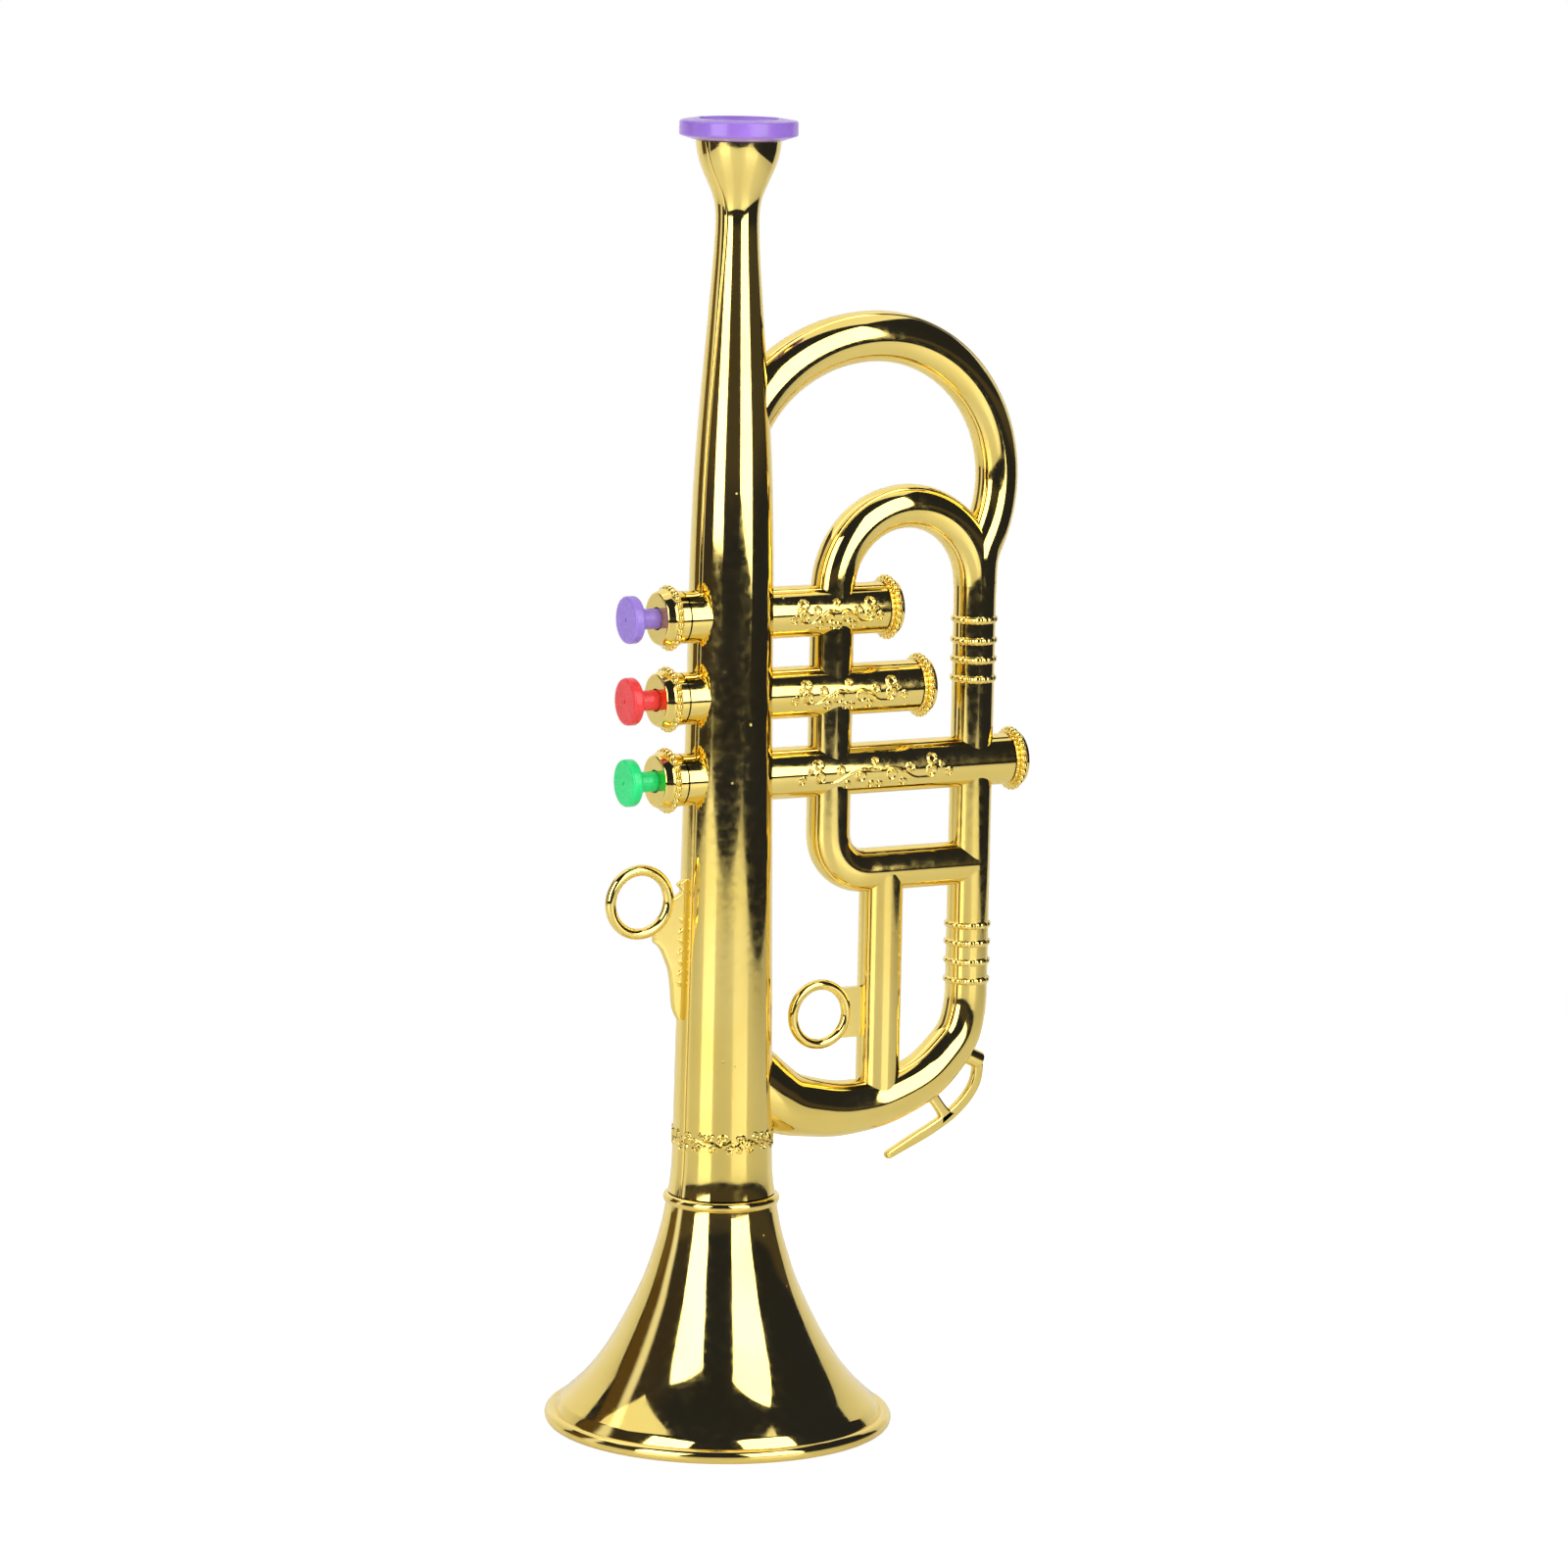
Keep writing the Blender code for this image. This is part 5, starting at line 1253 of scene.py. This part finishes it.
class TRUMPET_OT_water_key(bpy.types.Operator):
    """Dummy water key: nipple, curved lever and the post between them"""

    bl_idname = "trumpet.water_key"
    bl_label = "Water key"

    def execute(self, context):
        r = context.scene.trumpet_rings
        run = np.array([math.cos(r.nipple_angle), 0, math.sin(r.nipple_angle)])
        foot = np.array([AXIS_X + r.nipple_reach, 0, r.nipple_height])
        profile = [(0, r.nipple_length), (1.3 * MM, r.nipple_length),
                   (r.nipple, r.nipple_length - 0.3 * MM), (r.nipple, 0), (0, 0)]
        points, faces = turned(filleted(profile, {1: 0.3, 2: 0.5}), (0, 0, 0), (0, 0, 1), 64,
                               closed=False)
        tilt = np.stack([np.cross(run, (0, 1, 0)), (0, 1, 0), run])
        nipple = facing_out(points @ tilt + foot, faces)
        tip = foot + run * r.nipple_length
        start = (tip[0] - AXIS_X - r.lever / 2, tip[2])
        shares = np.array(LEVER)
        t, even = np.linspace(0, 1, len(shares)), np.linspace(0, 1, 160)
        reach = start[0] - r.lever_span * through(t, shares[:, 0], even)
        height = start[1] - r.lever_drop * through(t, shares[:, 1], even)
        length, *line = softened(np.stack([reach, height], 1), np.ones(160), 2.0 * MM, 0.3 * MM)
        path, side = upright(*line[:2])
        width = r.lever * (1 - 0.3 * np.clip((length / length[-1] - 0.7) / 0.3, 0, 1))
        width = width * taper(length, length[-1], 1.6 * MM, 0.15)
        depth = r.lever_thickness / 2 * taper(length, length[-1], 0.8 * MM, 0.4)
        lever = swept(path, side, width, depth, 0.6 * MM, flats=True)
        t = np.linspace(0, 1, 30)
        (top_reach, top_drop), (low_reach, low_drop) = POST_ENDS
        path, side = upright(start[0] - r.lever_span * (top_reach + (low_reach - top_reach) * t),
                             start[1] - r.lever_drop * (top_drop + (low_drop - top_drop) * t))
        flare = 1.6 * MM + 1.3 * MM * (2 * t - 1) ** 4
        post = swept(path, side, flare, r.lever_thickness / 2, 0.6 * MM, flats=True)
        add_piece("water_key_lever", "water_key", [nipple, lever, post])
        return {"FINISHED"}


class TRUMPET_OT_inner_works(bpy.types.Operator):
    """Finishes of the pads, reed block and reeds inside the main tube"""

    bl_idname = "trumpet.inner_works"
    bl_label = "Inner works"

    def execute(self, context):
        finish = context.scene.trumpet_finish
        rubber = rubber_finish("pad_finish", finish.rubber)
        white = plastic_finish("reed_block_finish", finish.white, 0.45, 0.92)
        brass = metal_finish("reed_finish", finish.brass, 0.3, (1.0, 1.0, 0.1))
        chosen = {f"pad_{number}": rubber for number in KEY_NUMBERS}
        chosen |= {f"reed_{number}": brass for number in (1, 2, 3, 4)}
        chosen["reed_block"] = white
        for name, material in chosen.items():
            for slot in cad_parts[name].material_slots:
                slot.material = material
        return {"FINISHED"}


# The studio


def direction(bearing):
    """Level direction from the trumpet.

    Bearing 0 is towards the camera, and it grows towards the picture's right.
    """
    heading = bearing - bpy.context.scene.trumpet_studio.azimuth
    return Vector((math.sin(heading), -math.cos(heading), 0))


def located(aside, before, height):
    """Point right of, before and above the trumpet's foot as the camera sees it."""
    foot = Vector((AXIS_X, 0, height))
    return foot + direction(math.pi / 2) * aside + direction(0.0) * before


def make_world():
    """Unlit studio, with a dark panel and a pale strip far at left.

    Camera rays meet white. For every other ray a ramp over the bearing gives the colour, and
    at left the bearing of each edge falls with the square of the height above 20 degrees. A
    faint haze lies a few degrees above the level.
    """
    studio = bpy.context.scene.trumpet_studio
    world = bpy.data.worlds.new("studio_surroundings")
    bpy.context.scene.world = world
    world.use_nodes = True
    tree = world.node_tree
    tree.nodes.clear()
    ray = node(tree, "ShaderNodeTexCoord").outputs["Generated"]
    parts = node(tree, "ShaderNodeSeparateXYZ", {"Vector": ray}).outputs
    heading = maths(tree, "ARCTAN2", parts["X"], maths(tree, "MULTIPLY", parts["Y"], -1.0))
    bearing = maths(tree, "WRAP", maths(tree, "ADD", heading, studio.azimuth), math.pi, -math.pi)
    above = maths(tree, "SUBTRACT", maths(tree, "ARCSINE", parts["Z"]), math.radians(20))
    climb = maths(tree, "MAXIMUM", above, 0.0)
    lean = maths(tree, "MULTIPLY", maths(tree, "MULTIPLY", climb, climb), 1.6)
    lean = maths(tree, "MULTIPLY", lean, maths(tree, "LESS_THAN", bearing, 0.0))
    on_ramp = maths(tree, "MULTIPLY_ADD", maths(tree, "ADD", bearing, lean), 1 / TURN, 0.5)
    ramp = node(tree, "ShaderNodeValToRGB", {"Fac": on_ramp})
    stops = ((-119, studio.unlit), (-116, studio.panel), (-100, studio.panel),
             (-95, studio.strip), (-88, studio.strip), (-84, studio.unlit_left),
             (-62, studio.unlit_left), (-20, studio.unlit))
    stops = [((degrees + 180) / 360, (*colour, 1)) for degrees, colour in stops]
    for element, (position, colour) in zip(ramp.color_ramp.elements, stops):
        element.position, element.color = position, colour
    for position, colour in stops[2:]:
        ramp.color_ramp.elements.new(position).color = colour
    off_level = maths(tree, "ABSOLUTE", maths(tree, "SUBTRACT", parts["Z"], 0.06))
    hazy = blended(tree, spread(tree, off_level, 0.05, 0.13, 1.0, 0.0), ramp.outputs[0],
                   studio.haze, "ADD")
    is_camera = node(tree, "ShaderNodeLightPath").outputs["Is Camera Ray"]
    background = node(tree, "ShaderNodeBackground",
                      {"Color": blended(tree, is_camera, hazy, (1, 1, 1)), "Strength": 1.0})
    node(tree, "ShaderNodeOutputWorld", {"Surface": background.outputs[0]})


def paper_finish(name, paleness, glow, painted_glow_middle, painted_glow_side):
    """Pale satin paper.

    For camera rays it glows by itself, so that it joins the white surroundings. For the others
    it carries painted light: it glows though it is no lamp, from a middle strength up to a side
    strength half a metre left or right, which brightens its reflections and lights the pieces.
    """
    made, tree, shader, spot = new_finish(name)
    shade = blended(tree, noise(tree, spot, 12.0), [paleness] * 3, [paleness * 0.97] * 3)
    fill(tree, shader, {"Base Color": shade, "Roughness": 0.3})
    azimuth = bpy.context.scene.trumpet_studio.azimuth
    beside = node(tree, "ShaderNodeVectorMath", {0: spot, 1: tuple(direction(math.pi / 2))},
                  operation="DOT_PRODUCT").outputs["Value"]
    beside = maths(tree, "SUBTRACT", beside, AXIS_X * math.cos(azimuth))
    # painted light: emission strength of the paper, from the middle value to the side value by the
    # distance left or right of the trumpet
    strength = spread(tree, maths(tree, "ABSOLUTE", beside), 0.05, 0.5, painted_glow_middle, painted_glow_side)

    def glowing(amount):
        inputs = {"Color": (1, 1, 1, 1), "Strength": amount}
        return node(tree, "ShaderNodeEmission", inputs).outputs[0]

    def added(first, second):
        return node(tree, "ShaderNodeAddShader", {0: first, 1: second}).outputs[0]

    faint = node(tree, "ShaderNodeBsdfDiffuse", {"Color": (0.45, 0.45, 0.45, 1)}).outputs[0]
    is_camera = node(tree, "ShaderNodeLightPath").outputs["Is Camera Ray"]
    # painted light: every ray but camera rays sees the paper glow on top of its satin shade
    mix = node(tree, "ShaderNodeMixShader", {0: is_camera,
                                             1: added(shader.outputs[0], glowing(strength)),
                                             2: added(glowing(glow), faint)})
    fill(tree, tree.nodes["Material Output"], {"Surface": mix.outputs[0]})
    return made


def add_sheet(name, corners, finish):
    """Flat piece of the stage."""
    mesh = bpy.data.meshes.new(name)
    mesh.from_pydata([tuple(located(*corner)) for corner in corners], [],
                     [tuple(range(len(corners)))])
    mesh.materials.append(finish)
    sheet = show(bpy.data.objects.new(name, mesh))
    return sheet


def make_paper():
    """Table under the trumpet and an upright backdrop that the camera looks through."""
    studio = bpy.context.scene.trumpet_studio
    left, near, back = -studio.table_left, studio.table_near, -studio.sheet_distance
    splay = math.tan(studio.table_splay)
    near_right, far_right = (studio.table_right + splay * distance for distance in (near, back))
    low, high = -0.2 * MM, studio.sheet_height
    # painted light: the table and the backdrop glow for every ray but camera rays, by the studio's
    # glow strengths
    table = paper_finish("table_finish", studio.floor, 0.86, studio.floor_glow, studio.side_glow)
    add_sheet("table", [(left, near, low), (near_right, near, low), (far_right, back, low),
                        (left, back, low)], table)
    paper = paper_finish("backdrop_finish", studio.sheet, 1.0, studio.sheet_glow,
                         studio.sheet_glow)
    sheet = add_sheet("backdrop", [(left, back, low), (far_right, back, low),
                                   (far_right, back, high), (left, back, high)], paper)
    sheet.visible_camera = False


def make_softbox(side):
    """Softbox at its place and turn."""
    studio = bpy.context.scene.trumpet_studio
    width, height, power, turn, place = (
        getattr(studio, f"{side}_{word}") for word in ("width", "height", "power", "turn", "place"))
    lamp = bpy.data.lights.new(f"softbox_{side}", "AREA")
    lamp.shape = "RECTANGLE"
    lamp.size, lamp.size_y = width, height
    lamp.energy = power * lamp.size * lamp.size_y
    lean, heading, roll = turn
    basis = Matrix((direction(heading + math.pi / 2), Vector((0, 0, 1)), direction(heading)))
    basis = basis.transposed() @ Matrix.Rotation(-lean, 3, "X") @ Matrix.Rotation(roll, 3, "Z")
    box = show(bpy.data.objects.new(lamp.name, lamp))
    box.matrix_world = Matrix.Translation(located(*place)) @ basis.to_4x4()
    box.visible_camera = False


def make_camera():
    """Camera at the photograph's viewpoint."""
    studio = bpy.context.scene.trumpet_studio
    camera = bpy.data.cameras.new("camera")
    camera.lens = studio.lens
    camera.sensor_width = 36.0
    camera.clip_start, camera.clip_end = 0.05, 50.0
    bearing = studio.azimuth + studio.yaw
    level = Vector((math.sin(bearing), math.cos(bearing), 0))
    sight = level * math.cos(studio.pitch) - Vector((0, 0, math.sin(studio.pitch)))
    right = sight.cross(Vector((0, 0, 1))).normalized()
    up = right.cross(sight)
    cosine, sine = math.cos(studio.roll), math.sin(studio.roll)
    right, up = right * cosine + up * sine, up * cosine - right * sine
    matrix = Matrix((right, up, -sight)).transposed().to_4x4()
    matrix.translation = Vector((AXIS_X - studio.distance * math.sin(studio.azimuth),
                                 -studio.distance * math.cos(studio.azimuth), studio.height))
    viewer = show(bpy.data.objects.new("camera", camera))
    viewer.matrix_world = matrix
    bpy.context.scene.camera = viewer


class TRUMPET_OT_stage(bpy.types.Operator):
    """Camera, floor, backdrop and softboxes"""

    bl_idname = "trumpet.stage"
    bl_label = "Stage"

    def execute(self, context):
        context.scene.view_settings.view_transform = "Standard"
        make_camera()
        make_world()
        make_paper()
        for side in ("left", "right", "overhead"):
            make_softbox(side)
        return {"FINISHED"}


OPERATORS = (TRUMPET_OT_stage, TRUMPET_OT_main_tube, TRUMPET_OT_bows, TRUMPET_OT_casings,
             TRUMPET_OT_caps, TRUMPET_OT_keys, TRUMPET_OT_bell, TRUMPET_OT_mouthpiece,
             TRUMPET_OT_rings, TRUMPET_OT_water_key, TRUMPET_OT_inner_works)


class TRUMPET_PT_panel(bpy.types.Panel):
    """Lists the trumpet's pieces and the stage"""

    bl_idname = "TRUMPET_PT_panel"
    bl_label = "Toy trumpet"
    bl_space_type = "VIEW_3D"
    bl_region_type = "UI"
    bl_category = "Trumpet"

    def draw(self, context):
        for operator in OPERATORS:
            self.layout.operator(operator.bl_idname)


GROUPS = {"trumpet_tubes": TrumpetTubes, "trumpet_valves": TrumpetValves,
          "trumpet_bell": TrumpetBell, "trumpet_rings": TrumpetRings,
          "trumpet_finish": TrumpetFinish, "trumpet_studio": TrumpetStudio}


def register():
    """Register the classes and attach the settings to the scene."""
    for item in (*GROUPS.values(), *OPERATORS, TRUMPET_PT_panel):
        bpy.utils.register_class(item)
    for name, group in GROUPS.items():
        setattr(bpy.types.Scene, name, bpy.props.PointerProperty(type=group))


def unregister():
    """Undo what register does."""
    for name in GROUPS:
        delattr(bpy.types.Scene, name)
    for item in (TRUMPET_PT_panel, *reversed(OPERATORS), *reversed(list(GROUPS.values()))):
        bpy.utils.unregister_class(item)


def main():
    """Make every piece."""
    register()
    for operator in OPERATORS:
        group, name = operator.bl_idname.split(".")
        getattr(getattr(bpy.ops, group), name)()


if __name__ == "__main__":
    main()
